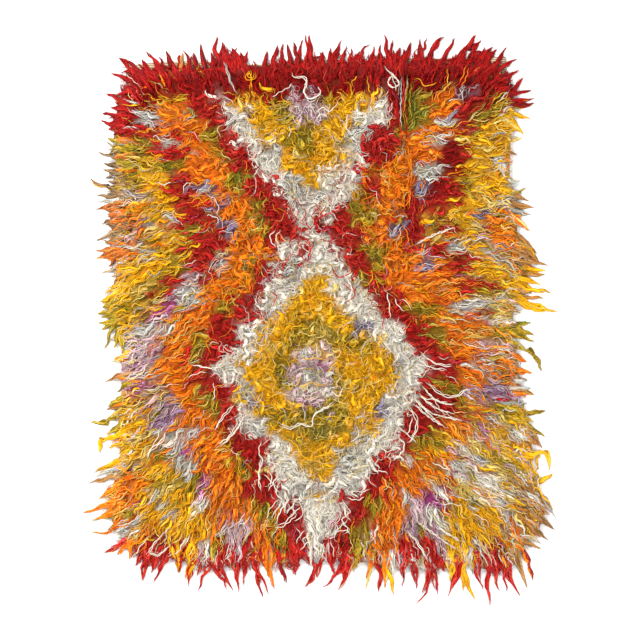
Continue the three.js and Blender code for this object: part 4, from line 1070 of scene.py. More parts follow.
class Nodes:
    """A short way to build a material's nodes."""

    def __init__(self, name):
        self.material = bpy.data.materials.new(name)
        self.material.use_nodes = True
        self.tree = self.material.node_tree
        self.shader = self.tree.nodes["Principled BSDF"]

    def add(self, kind, **settings):
        node = self.tree.nodes.new(kind)
        for key, value in settings.items():
            setattr(node, key, value)
        return node

    def feed(self, socket, value):
        """Links another node's output to a socket, or gives the socket a plain value."""
        if hasattr(value, "links"):
            self.tree.links.new(value, socket)
        else:
            socket.default_value = value

    def math(self, operation, *values, clamp=True):
        node = self.add("ShaderNodeMath", operation=operation, use_clamp=clamp)
        for socket, value in zip(node.inputs, values):
            self.feed(socket, value)
        return node.outputs[0]

    def mix(self, factor, first, second):
        node = self.add("ShaderNodeMix", data_type="RGBA")
        for number, value in zip(COLOUR_MIX_INPUTS, (factor, first, second)):
            self.feed(node.inputs[number], value)
        return node.outputs[COLOUR_MIX_OUTPUT]

    def noise(self, vector, scale, detail=2.0, roughness=0.5):
        node = self.add("ShaderNodeTexNoise")
        self.feed(node.inputs["Vector"], vector)
        self.feed(node.inputs["Scale"], scale)
        self.feed(node.inputs["Detail"], detail)
        self.feed(node.inputs["Roughness"], roughness)
        return node.outputs[0]

    def ribs(self, vector, direction, scale, distortion, detail_scale=1.0):
        node = self.add("ShaderNodeTexWave", bands_direction=direction)
        self.feed(node.inputs["Vector"], vector)
        self.feed(node.inputs["Scale"], scale)
        self.feed(node.inputs["Distortion"], distortion)
        self.feed(node.inputs["Detail Scale"], detail_scale)
        return node.outputs[1]

    def ramp(self, value, low, high):
        """0 where a value is at low and 1 where it is at high."""
        node = self.add("ShaderNodeMapRange", interpolation_type="SMOOTHSTEP")
        for socket, setting in zip(node.inputs, (value, low, high)):
            self.feed(socket, setting)
        return node.outputs[0]

    def tint(self, colour, over, value, low, high, most):
        """A colour tinted with another: not at all where a value is at low, most where it is at high."""
        return self.mix(self.math("MULTIPLY", self.ramp(value, low, high), most), colour, over)

    def stretch(self, vector, scale):
        node = self.add("ShaderNodeMapping")
        self.feed(node.inputs[0], vector)
        self.feed(node.inputs["Scale"], scale)
        return node.outputs[0]

    def crimp(self, vector, length, size):
        """The same place along a strand, moved to and fro across it in short waves."""
        parts = self.add("ShaderNodeSeparateXYZ")
        self.feed(parts.inputs[0], vector)
        turns = self.math("MULTIPLY", parts.outputs[1], FULL_TURN / length, clamp=False)
        wave = self.math("SINE", turns, clamp=False)
        place = self.add("ShaderNodeCombineXYZ")
        self.feed(place.inputs[0], self.math("MULTIPLY_ADD", wave, size, parts.outputs[0], clamp=False))
        self.feed(place.inputs[1], parts.outputs[1])
        return place.outputs[0]

    def bump(self, height, strength, distance):
        node = self.add("ShaderNodeBump")
        self.feed(node.inputs["Height"], height)
        self.feed(node.inputs["Strength"], strength)
        self.feed(node.inputs["Distance"], distance)
        self.feed(self.shader.inputs["Normal"], node.outputs[0])

    def finish(self, colour, roughness, specular=0.5):
        """The material, with its colour, roughness and shine on the shader's own sockets."""
        self.feed(self.shader.inputs["Base Color"], colour)
        self.shader.inputs["Roughness"].default_value = roughness
        self.shader.inputs["Specular IOR Level"].default_value = specular
        return self.material


# The crimp of the wool, in metres, and how often its streaks, hairs and dabs come, across and along a strand.
CRIMP_LENGTH = 0.013
CRIMP_SIZE = 0.0016
STREAKS = (140, 17, 1)
HAIRS = (310, 26, 1)
DABS = (60, 84, 1)
# How strongly the light tone is painted on as highlight.
HIGHLIGHT_STRENGTH = 0.62


def wool_material(name, wool):
    """Mohair of one colour, streaked and dabbed, with painted shade towards each lock's root, on deep locks
    and between its streaks and hairs, and painted highlight along its shining streaks and on raised locks.
    """
    nodes = Nodes(f"{name}_wool")
    parts = nodes.add("ShaderNodeSeparateColor")
    nodes.feed(parts.inputs[0], nodes.add("ShaderNodeVertexColor", layer_name="Lock").outputs[0])
    along, shading_tone = parts.outputs[:2]
    strand = nodes.crimp(nodes.add("ShaderNodeUVMap", uv_map="Strand").outputs[0], CRIMP_LENGTH, CRIMP_SIZE)
    streaks = nodes.noise(nodes.stretch(strand, STREAKS), scale=1.0, detail=2.0, roughness=0.55)
    hairs = nodes.noise(nodes.stretch(strand, HAIRS), scale=1.0, detail=2.0, roughness=0.6)
    dabs = nodes.noise(nodes.stretch(strand, DABS), scale=1.0, detail=1.5)
    painted_shade, middle, light, dab = (linear(levels) for levels in wool)
    # Painted shade: each lock runs from its dark tone at the root, deep in the pile, to its middle tone.
    colour = nodes.mix(nodes.ramp(along, low=0.0, high=0.3), painted_shade, middle)
    colour = nodes.tint(colour, dab, dabs, low=0.5, high=0.58, most=0.85)
    # Painted shade on locks with a low shading tone, most of all those that lie deep.
    colour = nodes.tint(colour, painted_shade, shading_tone, low=0.45, high=0.0, most=0.7)
    # Painted shade in the dark lines between the streaks.
    colour = nodes.tint(colour, painted_shade, streaks, low=0.48, high=0.38, most=0.8)
    # Painted highlight: the light tone along the shining streaks and on locks with the highest shading tones.
    streak_highlight = nodes.ramp(streaks, low=0.53, high=0.63)
    tone_highlight = nodes.ramp(shading_tone, low=0.8, high=1.0)
    painted_highlight = nodes.math("MULTIPLY", nodes.math("MAXIMUM", streak_highlight, tone_highlight), HIGHLIGHT_STRENGTH)
    colour = nodes.mix(painted_highlight, colour, light)
    # More painted shade, in fine lines between the hairs.
    colour = nodes.tint(colour, painted_shade, hairs, low=0.46, high=0.34, most=0.35)
    nodes.bump(streaks, strength=0.8, distance=0.004)
    return nodes.finish(colour, roughness=0.55, specular=0.12)


def add_piece(name, mesh, material, node):
    """Puts a piece into the scene in place of a node, riding on the rug."""
    mesh.materials.append(material)
    piece = bpy.data.objects.new(name, mesh)
    bpy.context.collection.objects.link(piece)
    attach(piece, "root")
    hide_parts(node)
    return piece


# The locks of the pile stand in even jittered rows, each with its strands. A loose curl is a shorter one
# over the middle. Ranges hold the least and the most of what is drawn for each.
Growth = namedtuple("Growth", "lengths bends wave_sizes wave_lengths widths lifts")
PILE_LOCK = Growth(
    lengths=(0.062, 0.094), bends=(-1, 1), wave_sizes=(0.15, 0.62), wave_lengths=(0.028, 0.064),
    widths=(0.0086, 0.0140), lifts=(-0.009, -0.0015),
)
RIM_LOCK = Growth(
    lengths=(0.055, 0.085), bends=(-1.6, 1.6), wave_sizes=(0.15, 0.7), wave_lengths=(0.03, 0.06),
    widths=(0.005, 0.010), lifts=(-0.004, 0.002),
)
LOOSE_CURL = Growth(
    lengths=(0.036, 0.085), bends=(0.5, 4.2), wave_sizes=(0.1, 0.8), wave_lengths=(0.02, 0.045),
    widths=(0.0016, 0.0027), lifts=(-0.003, 0.004),
)
LOCK_SPACING = 0.0251
CURL_SPACING = 0.0182
JITTER = (-0.4, 0.4)
RIM_MARGIN = -0.004

# How far the locks' headings spread, in radians, and how much full curl changes a lock of the pile.
LOCK_SPREAD = math.radians(17)
CURL_SPREAD = math.radians(150)
RIM_SPREAD = math.radians(14)
CURL_SHORTENS = 0.42
LOCK_BEND = 0.5
CURL_BENDS = 3.2
CURL_WAVES = 0.75
CURL_WIDENS = 0.6
CURL_FLATTENS = 0.12
CURL_SINKS = 0.001
LOOSE_WHERE_CURLED = (0.35, 0.8)

# The bodies of the locks: how widths vary along them, their height as a share of the width, and how deep
# their roots lie in the pile.
BODY_ROOT = 0.55
BODY_TIP = 2.0
BODY_UNEVEN = (0.8, 1.15)
BODY_HEIGHT = 0.28
# The most painted light that a body gets.
BODY_MOST_LIT = 0.85
ROOT_DEPTH = 0.020
CURL_LIFTS_ROOT = 0.006
LOOSE_ROOT_DEPTH = 0.010
FULL_AFTER = 0.3
# How much of a lock's painted light follows its height: deep locks get painted shade, raised ones painted
# highlight.
RAISED_SHADING = 0.72

# The thin strands beside and over each lock.
STRANDS_PER_LOCK = 4.3
FEWER_WHERE_CURLED = 2.1
STRAY_SHARE = 0.5
STRAND_REACH = 0.013
STRAND_GATHERS = 0.75
STRAND_SHIFTS = (-0.35, 0.35)
STRAND_RIPPLE = 0.0022
STRAND_RIPPLES = (1.2, 3.4)
STRAND_WIDTHS = (0.0020, 0.0032)
STRAND_LIFTS = (-0.006, 0.0045)
STRAND_ROOT = 0.7
STRAND_TIP = 4.0
STRAND_HEIGHT = 0.8
CURL_THINS = 0.25

# Pointed locks, along the rim and in tufts.
Point = namedtuple("Point", "fullness strands")
RIM_POINT = Point(fullness=1.7, strands=2.0)
TUFT_POINT = Point(fullness=3.0, strands=1.8)
POINTED_ROOT = 0.8
POINTED_HEIGHT = 0.42
POINTED_HIGHEST = 0.007
POINTED_DEPTH = 0.014
# The shading tones of pointed locks are kept low: painted shade on the rim locks and tufts.
POINTED_SHADING = (0.05, 0.75)
POINTED_REACH = 0.4

# The tufts: how far their roots reach into the pile and their tips past the charted ones, the width of
# one part in pixels, and how unevenly the parts lie.
TUFT_ROOT = 0.026
TUFT_REACH = 0.007
TUFT_INNER = (-0.02, 0.0)
TUFT_BOW = 0.13
TUFT_PART = 2.1
TUFT_SHORTER = (0.6, 1.0)
TUFT_WANDER = 0.32
TUFT_WAVES = (0.9, 2.4)
TUFT_OVERLAP = 1.8
TUFT_THINNEST = 2.0
TUFT_MIXED = 0.2

# The loose wisps, in metres, with the waver of each strand and the sway that sets it apart from the next.
THREAD_STATIONS = 26
THREAD_STRANDS = 2
THREAD_SINGLE = 0.11
THREAD_STARTS = (0, 0.16)
THREAD_ENDS = (0.84, 1)
THREAD_WAVER = 0.0014
THREAD_WAVER_LENGTHS = (0.018, 0.036)
THREAD_SPREAD = 0.0050
THREAD_SWAY = 0.06
THREAD_SWAYS = (0.6, 1.6)
THREAD_LIFT = 0.0090
THREAD_LIFTS = (0.8, 1.0)
THREAD_DIP = 0.012
THREAD_DIP_SHARE = 0.12
THREAD_WIDTH = 0.0028
THREAD_WIDTHS = (0.75, 1.1)
THREAD_HEIGHT = 0.9
THREAD_POINT = 6
THREAD_BLUNT = 0.05
# The shading tones of the wisps, drawn at random, with a little painted shade on the lowest.
THREAD_SHADING = (0.35, 0.8)
SMOOTH_STEPS = 12

# The short locks along each side of the rim: the way out, the least and most that their tips reach
# past the line that they follow, and their spacing.
Fringe = namedtuple("Fringe", "way least most spacing line")
FRINGES = [
    Fringe((0, 1), -0.026, 0.003, 0.0080, FAR_TIPS),
    Fringe((1, 0), -0.010, 0.009, 0.0095, RIM_SIDES["right"]),
    Fringe((0, -1), -0.008, 0.012, 0.0120, RIM_SIDES["near"]),
    Fringe((-1, 0), -0.010, 0.009, 0.0105, RIM_SIDES["left"]),
]


def pile_places(spacing):
    """The places of locks at about that spacing, spread over the whole pile."""
    low_x, low_y = RIM.min(axis=0)
    high_x, high_y = RIM.max(axis=0)
    x, y = np.meshgrid(np.arange(low_x, high_x, spacing), np.arange(low_y, high_y, spacing))
    x = x.ravel() + dice.uniform(*JITTER, x.size) * spacing
    y = y.ravel() + dice.uniform(*JITTER, y.size) * spacing
    kept = inset_from_rim(x, y) > RIM_MARGIN
    return x[kept], y[kept]


def draw_wave(growth, count, curl=None):
    """The waves of several locks, larger by chance where they curl."""
    size = dice.uniform(*growth.wave_sizes, count)
    if curl is not None:
        size = size + CURL_WAVES * curl * dice.random(count)
    return Wave(size, dice.uniform(*growth.wave_lengths, count), dice.uniform(0, FULL_TURN, count))


def lock_shapes(x, y):
    """The path of each lock of the pile, and its curl."""
    count = len(x)
    heading, curl = flow_at(x, y)
    heading = heading + dice.uniform(-1, 1, count) * (LOCK_SPREAD + CURL_SPREAD * curl**2)
    length = dice.uniform(*PILE_LOCK.lengths, count) * (1 - CURL_SHORTENS * curl)
    bend = dice.uniform(*PILE_LOCK.bends, count) * (LOCK_BEND + CURL_BENDS * curl)
    return grow(x, y, heading, length, bend, draw_wave(PILE_LOCK, count, curl), SHOWN), curl


def taper(root, tip_power):
    """Widths along a lock as shares of its widest: fuller after the root and pointed at the tip."""
    return (root + (1 - root) * np.clip(SHARES / FULL_AFTER, 0, 1)) * (1 - SHARES**tip_power)


def shading_by_height(lift, most):
    """The painted light of each lock, from 0 to most: painted shade on the ones that lie deep and painted
    highlight on raised ones, with some spread at random.
    """
    raised = (lift - lift.min()) / (lift.max() - lift.min())
    return most * np.clip(RAISED_SHADING * raised + (1 - RAISED_SHADING) * dice.random(len(lift)), 0, 1)


def root_depth(curl):
    return ROOT_DEPTH - CURL_LIFTS_ROOT * curl


def body_batch(paths, curl, wools):
    """The broad body of each lock."""
    count = len(paths)
    width = dice.uniform(*PILE_LOCK.widths, count) * (1 + CURL_WIDENS * curl)
    widths = width[:, None] * taper(BODY_ROOT, BODY_TIP) * dice.uniform(*BODY_UNEVEN, (count, STATIONS))
    heights = (BODY_HEIGHT - CURL_FLATTENS * curl[:, None]) * widths
    lift = dice.uniform(*PILE_LOCK.lifts, count) - CURL_SINKS * curl
    laid = lay(paths, lift, root_depth(curl), heights.max(axis=1))
    return Batch(laid, widths, heights, shading_by_height(lift, BODY_MOST_LIT), wools)


def strand_girths(width):
    """The widths and heights of thin strands at each station."""
    widths = width[:, None] * taper(STRAND_ROOT, STRAND_TIP)
    return widths, STRAND_HEIGHT * widths


def strand_batch(paths, curl, wools, per_lock, reach):
    """Thin strands that run beside and over each lock, within a reach on each side, and meet at its tip."""
    picked = np.repeat(np.arange(len(paths)), np.floor(per_lock + dice.random(len(paths))).astype(int))
    count = len(picked)
    curl = curl[picked]
    reach = reach[picked]
    base = paths[picked].copy()
    tangent = np.gradient(base, axis=1)
    length = np.linalg.norm(tangent[..., :2], axis=2, keepdims=True) + TINY
    aside = np.stack([-tangent[..., 1], tangent[..., 0]], axis=2) / length
    spread = (dice.uniform(-1, 1, count) * reach)[:, None] * (1 - STRAND_GATHERS * SHARES**2)
    ripples = FULL_TURN * SHARES * dice.uniform(*STRAND_RIPPLES, count)[:, None]
    ripple = STRAND_RIPPLE * np.sin(ripples + dice.uniform(*ANY_SHIFT, count)[:, None])
    base[..., :2] += aside * (spread + ripple)[..., None]
    base[..., :2] += dice.uniform(*STRAND_SHIFTS, (count, 1, 2)) * reach[:, None, None]
    widths, heights = strand_girths(dice.uniform(*STRAND_WIDTHS, count) * (1 - CURL_THINS * curl))
    lift = dice.uniform(*STRAND_LIFTS, count)
    laid = lay(base, lift, root_depth(curl), heights.max(axis=1))
    middle = base[:, STATIONS // 2]
    stray = dice.random(count) < STRAY_SHARE
    own = companions(np.where(stray, pick_wools(middle[:, 0], middle[:, 1]), wools[picked]))
    return Batch(laid, widths, heights, shading_by_height(lift, 1.0), own)


def curl_batch():
    """Short loose curls over the middle of the pile, where the locks lie every way."""
    x, y = pile_places(CURL_SPACING)
    curl = flow_at(x, y)[1]
    kept = dice.random(len(x)) < smoothstep(curl, *LOOSE_WHERE_CURLED)
    x, y = x[kept], y[kept]
    count = len(x)
    heading = dice.uniform(0, FULL_TURN, count)
    length = dice.uniform(*LOOSE_CURL.lengths, count)
    bend = dice.choice([-1, 1], count) * dice.uniform(*LOOSE_CURL.bends, count)
    paths = grow(x, y, heading, length, bend, draw_wave(LOOSE_CURL, count), SHOWN)
    widths, heights = strand_girths(dice.uniform(*LOOSE_CURL.widths, count))
    lift = dice.uniform(*LOOSE_CURL.lifts, count)
    laid = lay(paths, lift, np.full(count, LOOSE_ROOT_DEPTH), heights.max(axis=1))
    return Batch(laid, widths, heights, dice.random(count), companions(pick_wools(x, y)))


def pointed_batches(paths, curl, wools, width, point):
    """Locks with a broad pointed body, and the strands that meet at its tip."""
    count = len(paths)
    widths = width[:, None] * taper(POINTED_ROOT, point.fullness)
    heights = np.minimum(POINTED_HEIGHT * widths, POINTED_HIGHEST)
    lift = dice.uniform(*RIM_LOCK.lifts, count)
    laid = lay(paths, lift, np.full(count, POINTED_DEPTH), heights.max(axis=1))
    bodies = Batch(laid, widths, heights, dice.uniform(*POINTED_SHADING, count), wools)
    return bodies, strand_batch(paths, curl, wools, point.strands, POINTED_REACH * width)


def fringe_tips(fringe):
    """The tips of the short locks along one side of the rim."""
    count = int(line_length(fringe.line) / fringe.spacing)
    shares = (np.arange(count) + dice.random(count)) / count
    reach = dice.uniform(fringe.least, fringe.most, count)
    return curve_places(fringe.line, shares) + reach[:, None] * np.array(fringe.way)


def rim_locks():
    """Short pointed locks all along the rim."""
    x, y = np.concatenate([fringe_tips(fringe) for fringe in FRINGES]).T
    count = len(x)
    heading, curl = flow_at(x, y)
    heading = heading + dice.normal(0, RIM_SPREAD, count)
    length = dice.uniform(*RIM_LOCK.lengths, count)
    bend = dice.uniform(*RIM_LOCK.bends, count)
    paths = grow(x, y, heading, length, bend, draw_wave(RIM_LOCK, count), SHOWN_TIP)
    wools = pick_wools(paths[:, 0, 0], paths[:, 0, 1])
    return pointed_batches(paths, curl, wools, dice.uniform(*RIM_LOCK.widths, count), RIM_POINT)


def tuft_paths(tuft):
    """The paths of one tuft's parts, side by side at the pile and together at its tip."""
    start = np.array(from_pixel(tuft.x, tuft.y))
    tip = np.array(from_pixel(tuft.tip_x, tuft.tip_y))
    length = np.linalg.norm(tip - start)
    way = (tip - start) / length
    aside = np.array([-way[1], way[0]])
    bow = 2 * tuft.bow * PIXEL + TUFT_BOW * dice.uniform(-1, 1) * length
    middle = (start + tip) / 2 + bow * aside
    inner = smoothstep(inset_from_rim(start[:1], start[1:]), *TUFT_INNER)
    root = start - (TUFT_ROOT * inner + TUFT_REACH) * way
    tip = tip + TUFT_REACH * way
    wandering = TUFT_WANDER * np.linalg.norm(tip - start)
    share = SHARES[:, None]
    parts = max(1, round(tuft.width / TUFT_PART))
    for part in range(parts):
        along = share * (1.0 if part == parts // 2 else dice.uniform(*TUFT_SHORTER))
        line = (1 - along) ** 2 * root + 2 * along * (1 - along) * middle + along**2 * tip
        place = ((part + 0.5) / parts - 0.5) * tuft.width * PIXEL
        wave = np.sin(FULL_TURN * (share * dice.uniform(*TUFT_WAVES) + dice.random()))
        wander = wandering * dice.uniform(-1, 1) * wave * share * (1 - share)
        line = line + (place * (1 - along**2) + wander) * aside
        yield np.column_stack([line, np.zeros(STATIONS)])


def tuft_locks():
    """The tufts that stand out along the edges, each of one or more locks that run together at its tip."""
    paths, wools, widths = [], [], []
    for wool, tufts in TUFTS.items():
        for tuft in tufts:
            own = list(tuft_paths(tuft))
            width = max(TUFT_OVERLAP * tuft.width / len(own), TUFT_THINNEST) * PIXEL
            paths += own
            wools += [WOOL_NAMES.index(wool)] * len(own)
            widths += [width] * len(own)
    mixed = dice.random(len(wools)) < TUFT_MIXED
    wools = np.where(mixed, companions(wools), wools)
    return pointed_batches(np.array(paths), np.zeros(len(paths)), wools, np.array(widths), TUFT_POINT)


def smooth_path(points, stations):
    """An even smooth path through a list of points."""
    ends = np.vstack([2 * points[0] - points[1], points, 2 * points[-1] - points[-2]])
    t = np.linspace(0, 1, SMOOTH_STEPS, endpoint=False)[:, None]
    dense = []
    for before, start, end, after in zip(ends, ends[1:], ends[2:], ends[3:]):
        slope = end - before
        curve = 2 * before - 5 * start + 4 * end - after
        twist = 3 * start - before - 3 * end + after
        dense.append(0.5 * (2 * start + slope * t + curve * t**2 + twist * t**3))
    return curve_places(np.vstack(dense + [points[-1:]]), np.linspace(0, 1, stations))


def thread_paths(points):
    """The fine strands of one loose wisp, side by side along its points."""
    whole = smooth_path(line_from_pixels(points), 3 * THREAD_STATIONS)
    share = np.linspace(0, 1, THREAD_STATIONS)
    for _ in range(THREAD_STRANDS if line_length(whole) > THREAD_SINGLE else 1):
        first = dice.uniform(*THREAD_STARTS)
        last = dice.uniform(*THREAD_ENDS)
        line = curve_places(whole, first + (last - first) * share)
        length = line_length(line)
        way = np.gradient(line, axis=0)
        way /= np.linalg.norm(way, axis=1, keepdims=True) + TINY
        waves = FULL_TURN * share * length / dice.uniform(*THREAD_WAVER_LENGTHS)
        sway = min(THREAD_SPREAD, THREAD_SWAY * length) * dice.uniform(-1, 1)
        sway = sway * np.sin(math.pi * (share * dice.uniform(*THREAD_SWAYS) + dice.random()))
        aside = sway + THREAD_WAVER * np.sin(waves + dice.uniform(0, FULL_TURN))
        line = line + aside[:, None] * np.column_stack([-way[:, 1], way[:, 0]])
        height = pile_surface(line[:, 0], line[:, 1]) + THREAD_LIFT * dice.uniform(*THREAD_LIFTS)
        height -= THREAD_DIP * (1 - smoothstep(np.minimum(share, 1 - share), 0, THREAD_DIP_SHARE))
        lowest = THREAD_WIDTH + GROUND_THICKNESS * over_ground(line[:, 0], line[:, 1])
        yield np.column_stack([line, np.maximum(height, lowest)])


def thread_batch(threads):
    """The loose wisps of one wool."""
    paths = np.array([path for points in threads for path in thread_paths(points)])
    count = len(paths)
    share = np.linspace(0, 1, THREAD_STATIONS)
    shape = np.minimum(1, THREAD_POINT * np.minimum(share + THREAD_BLUNT, 1 - share))
    widths = THREAD_WIDTH * dice.uniform(*THREAD_WIDTHS, count)[:, None] * shape
    return Batch(paths, widths, THREAD_HEIGHT * widths, dice.uniform(*THREAD_SHADING, count))


def add_wool_piece(wool, kind, section, batch, materials):
    name = f"{wool}_{kind}"
    add_piece(name, tube_mesh(name, section, batch), materials[wool], "shag_pile")


def add_wool_pieces(kind, section, batches, materials):
    """One piece of each wool, from several batches of locks."""
    whole = Batch(*(np.concatenate(parts) for parts in zip(*batches)))
    for index, wool in enumerate(WOOL_NAMES):
        own = whole.wools == index
        if own.any():
            add_wool_piece(wool, kind, section, Batch(*(values[own] for values in whole)), materials)


def add_locks():
    """Every lock of the pile, as one piece for each wool and kind."""
    x, y = pile_places(LOCK_SPACING)
    wools = pick_wools(x, y)
    paths, curl = lock_shapes(x, y)
    per_lock = STRANDS_PER_LOCK - FEWER_WHERE_CURLED * curl
    bodies = body_batch(paths, curl, wools)
    strands = strand_batch(paths, curl, wools, per_lock, np.full(len(paths), STRAND_REACH))
    rim_bodies, rim_strands = rim_locks()
    tuft_bodies, tuft_strands = tuft_locks()
    materials = {name: wool_material(name, wool) for name, wool in WOOLS.items()}
    add_wool_pieces("locks", BROAD_SECTION, [bodies, rim_bodies, tuft_bodies], materials)
    add_wool_pieces("strands", THIN_SECTION, [strands, rim_strands, tuft_strands, curl_batch()], materials)
    for wool, threads in THREADS.items():
        add_wool_piece(wool, "threads", THIN_SECTION, thread_batch(threads), materials)


# The matted fleece between the locks: its depth under the pile's surface, and its bumps, in metres.
FLEECE_COLUMNS = 110
FLEECE_ROWS = 130
FLEECE_DEPTH = 0.014
FLEECE_SINKS = (-0.005, 0.05)
FLEECE_THINNEST = 0.002
FLEECE_CLEARANCE = 0.0004
Bumps = namedtuple("Bumps", "height size seed")
FLEECE_BUMPS = [Bumps(height=0.004, size=0.03, seed=17), Bumps(height=0.003, size=0.015, seed=18)]
FLEECE_BUMPS_RISE = (0.0, 0.03)

# The fleece's painted shade: how dark its colours are painted beside the locks, how much painted bounce light
# the paler wools give back to it, and the deep brown painted as shade into its hollows.
FLEECE_SHADE = 0.40
FLEECE_BOUNCE = 0.45
HOLLOW_SHADE = (60, 30, 12)

# The two faces of a slab lie side by side in its baked picture, each with a little room after it.
FACE_START = 0.5
FACE_SPAN = 0.49


def rim_patch(columns, rows):
    """A grid of places over the pile, blended from its four sides, in rows from near to far."""
    across = np.linspace(0, 1, columns + 1)
    along = np.linspace(0, 1, rows + 1)
    far = curve_places(RIM_SIDES["far"], across)[None]
    near = curve_places(RIM_SIDES["near"], 1 - across)[None]
    right = curve_places(RIM_SIDES["right"], 1 - along)[:, None]
    left = curve_places(RIM_SIDES["left"], along)[:, None]
    u = across[None, :, None]
    v = along[:, None, None]
    blended = near * (1 - v) + far * v + left * (1 - u) + right * u
    corners = near[:, :1] * (1 - u) * (1 - v) + near[:, -1:] * u * (1 - v)
    corners = corners + far[:, :1] * (1 - u) * v + far[:, -1:] * u * v
    return blended - corners


def slab_mesh(name, places, top, bottom):
    """A closed mesh over a grid of places, with its upper heights and one flat lower face."""
    rows, columns = places.shape[:2]
    upper = np.concatenate([places, top[..., None]], axis=2).reshape(-1, 3)
    number = np.arange(rows * columns).reshape(rows, columns)
    cells = [number[:-1, :-1], number[:-1, 1:], number[1:, 1:], number[1:, :-1]]
    faces = np.stack(cells, axis=2).reshape(-1, 4)
    rim = np.concatenate([number[0, :-1], number[:-1, -1], number[-1, :0:-1], number[:0:-1, 0]])
    lower = upper[rim]
    lower[:, 2] = bottom
    below = rows * columns + np.arange(len(rim))
    walls = np.stack([below, np.roll(below, -1), np.roll(rim, -1), rim], axis=1)
    points = np.concatenate([upper, lower])
    mesh = bpy.data.meshes.new(name)
    mesh.from_pydata(points.tolist(), [], faces.tolist() + walls.tolist() + [below[::-1].tolist()])
    mesh.shade_smooth()
    add_slab_map(mesh, points, len(faces))
    return mesh


def add_slab_map(mesh, points, upper_faces):
    """The map of a slab's baked picture, with the upper face beside the rest."""
    lowest = points[:, :2].min(axis=0)
    flat = (points[:, :2] - lowest) / (points[:, :2].max(axis=0) - lowest)
    corners = np.empty(len(mesh.loops), int)
    mesh.loops.foreach_get("vertex_index", corners)
    face = np.repeat(np.arange(len(mesh.polygons)), [polygon.loop_total for polygon in mesh.polygons])
    start = np.where(face < upper_faces, 0.0, FACE_START)
    set_map(mesh, "OFBake", flat[corners, 0] * FACE_SPAN + start, flat[corners, 1])


def fleece_material():
    """Matted wool in the colours of the locks above it, dull, with painted shade: darker, and deep brown in
    its hollows.
    """
    nodes = Nodes("matted_wool")
    colour = nodes.add("ShaderNodeVertexColor", layer_name="Wool").outputs[0]
    place = nodes.add("ShaderNodeTexCoord").outputs["Object"]
    tufts = nodes.noise(place, scale=110, detail=4.0, roughness=0.6)
    # Painted shade: deep brown in the hollows between the fleece's tufts.
    colour = nodes.tint(colour, linear(HOLLOW_SHADE), tufts, low=0.62, high=0.3, most=0.6)
    nodes.bump(tufts, strength=0.7, distance=0.004)
    return nodes.finish(colour, roughness=0.9, specular=0.15)


def add_fleece():
    """The matted base of the pile, a lumpy mat under the locks."""
    places = rim_patch(FLEECE_COLUMNS, FLEECE_ROWS)
    x, y = places[..., 0], places[..., 1]
    inset = inset_from_rim(x, y)
    tufts = sum(bumps.height * drift(x, y, bumps.size, bumps.seed) for bumps in FLEECE_BUMPS)
    depth = FLEECE_DEPTH * smoothstep(inset, *FLEECE_SINKS)
    top = pile_surface(x, y) - depth + tufts * smoothstep(inset, *FLEECE_BUMPS_RISE)
    top = np.maximum(top, GROUND_THICKNESS + FLEECE_THINNEST)
    mesh = slab_mesh("matted_fleece", places, top, GROUND_THICKNESS + FLEECE_CLEARANCE)
    mixed = wool_chances(x, y) @ np.array([linear(wool.middle)[:3] for wool in WOOLS.values()])
    # Painted shade on the fleece's colours, lifted for pale wools as painted bounce light.
    mixed *= FLEECE_SHADE + FLEECE_BOUNCE * mixed.mean(axis=2, keepdims=True)
    upper = np.concatenate([mixed, np.ones(x.shape + (1,))], axis=2).reshape(-1, 4)
    lower = np.broadcast_to(upper.mean(axis=0), (len(mesh.vertices) - len(upper), 4))
    set_colours(mesh, "Wool", np.concatenate([upper, lower]))
    add_piece("matted_fleece", mesh, fleece_material(), "shag_pile")


# The woven ground, of undyed warps packed over with brown-white weft. Its edges waver and are thicker.
GROUND_COLUMNS = 48
GROUND_ROWS = 60
GROUND_WIDTH = 1.1
GROUND_LENGTH = 1.4
GROUND_WAVER = 0.004
GROUND_WAVER_SIZE = 0.3
WAVER_POWER = 4
SELVEDGE = 0.0006
SELVEDGE_SPAN = (0.012, 0.004)

# The colours of its undyed wool, as sRGB levels, and its ribs and warps, with painted shade in the gaps
# between the yarns.
UNDYED = (214, 192, 164)
STAINED = (186, 156, 124)
YARN_GAP_SHADE = (120, 88, 62)


def ground_material():
    """Undyed wool in plain weave, with weft ridges about 3 mm apart and painted shade between the yarns."""
    nodes = Nodes("ground_weave")
    place = nodes.add("ShaderNodeTexCoord").outputs["Object"]
    wefts = nodes.ribs(place, "Y", scale=52, distortion=1.2, detail_scale=3.0)
    warps = nodes.ribs(place, "X", scale=70, distortion=0.8)
    weave = nodes.math("MULTIPLY", wefts, nodes.ramp(warps, low=-0.6, high=0.7))
    stains = nodes.noise(place, scale=9, detail=3.0)
    cloth = nodes.mix(nodes.ramp(stains, low=0.35, high=0.7), linear(UNDYED), linear(STAINED))
    # Painted shade in the gaps between the yarns.
    colour = nodes.mix(nodes.ramp(weave, low=0.5, high=0.05), cloth, linear(YARN_GAP_SHADE))
    nodes.bump(weave, strength=0.7, distance=0.0012)
    return nodes.finish(colour, roughness=0.85)


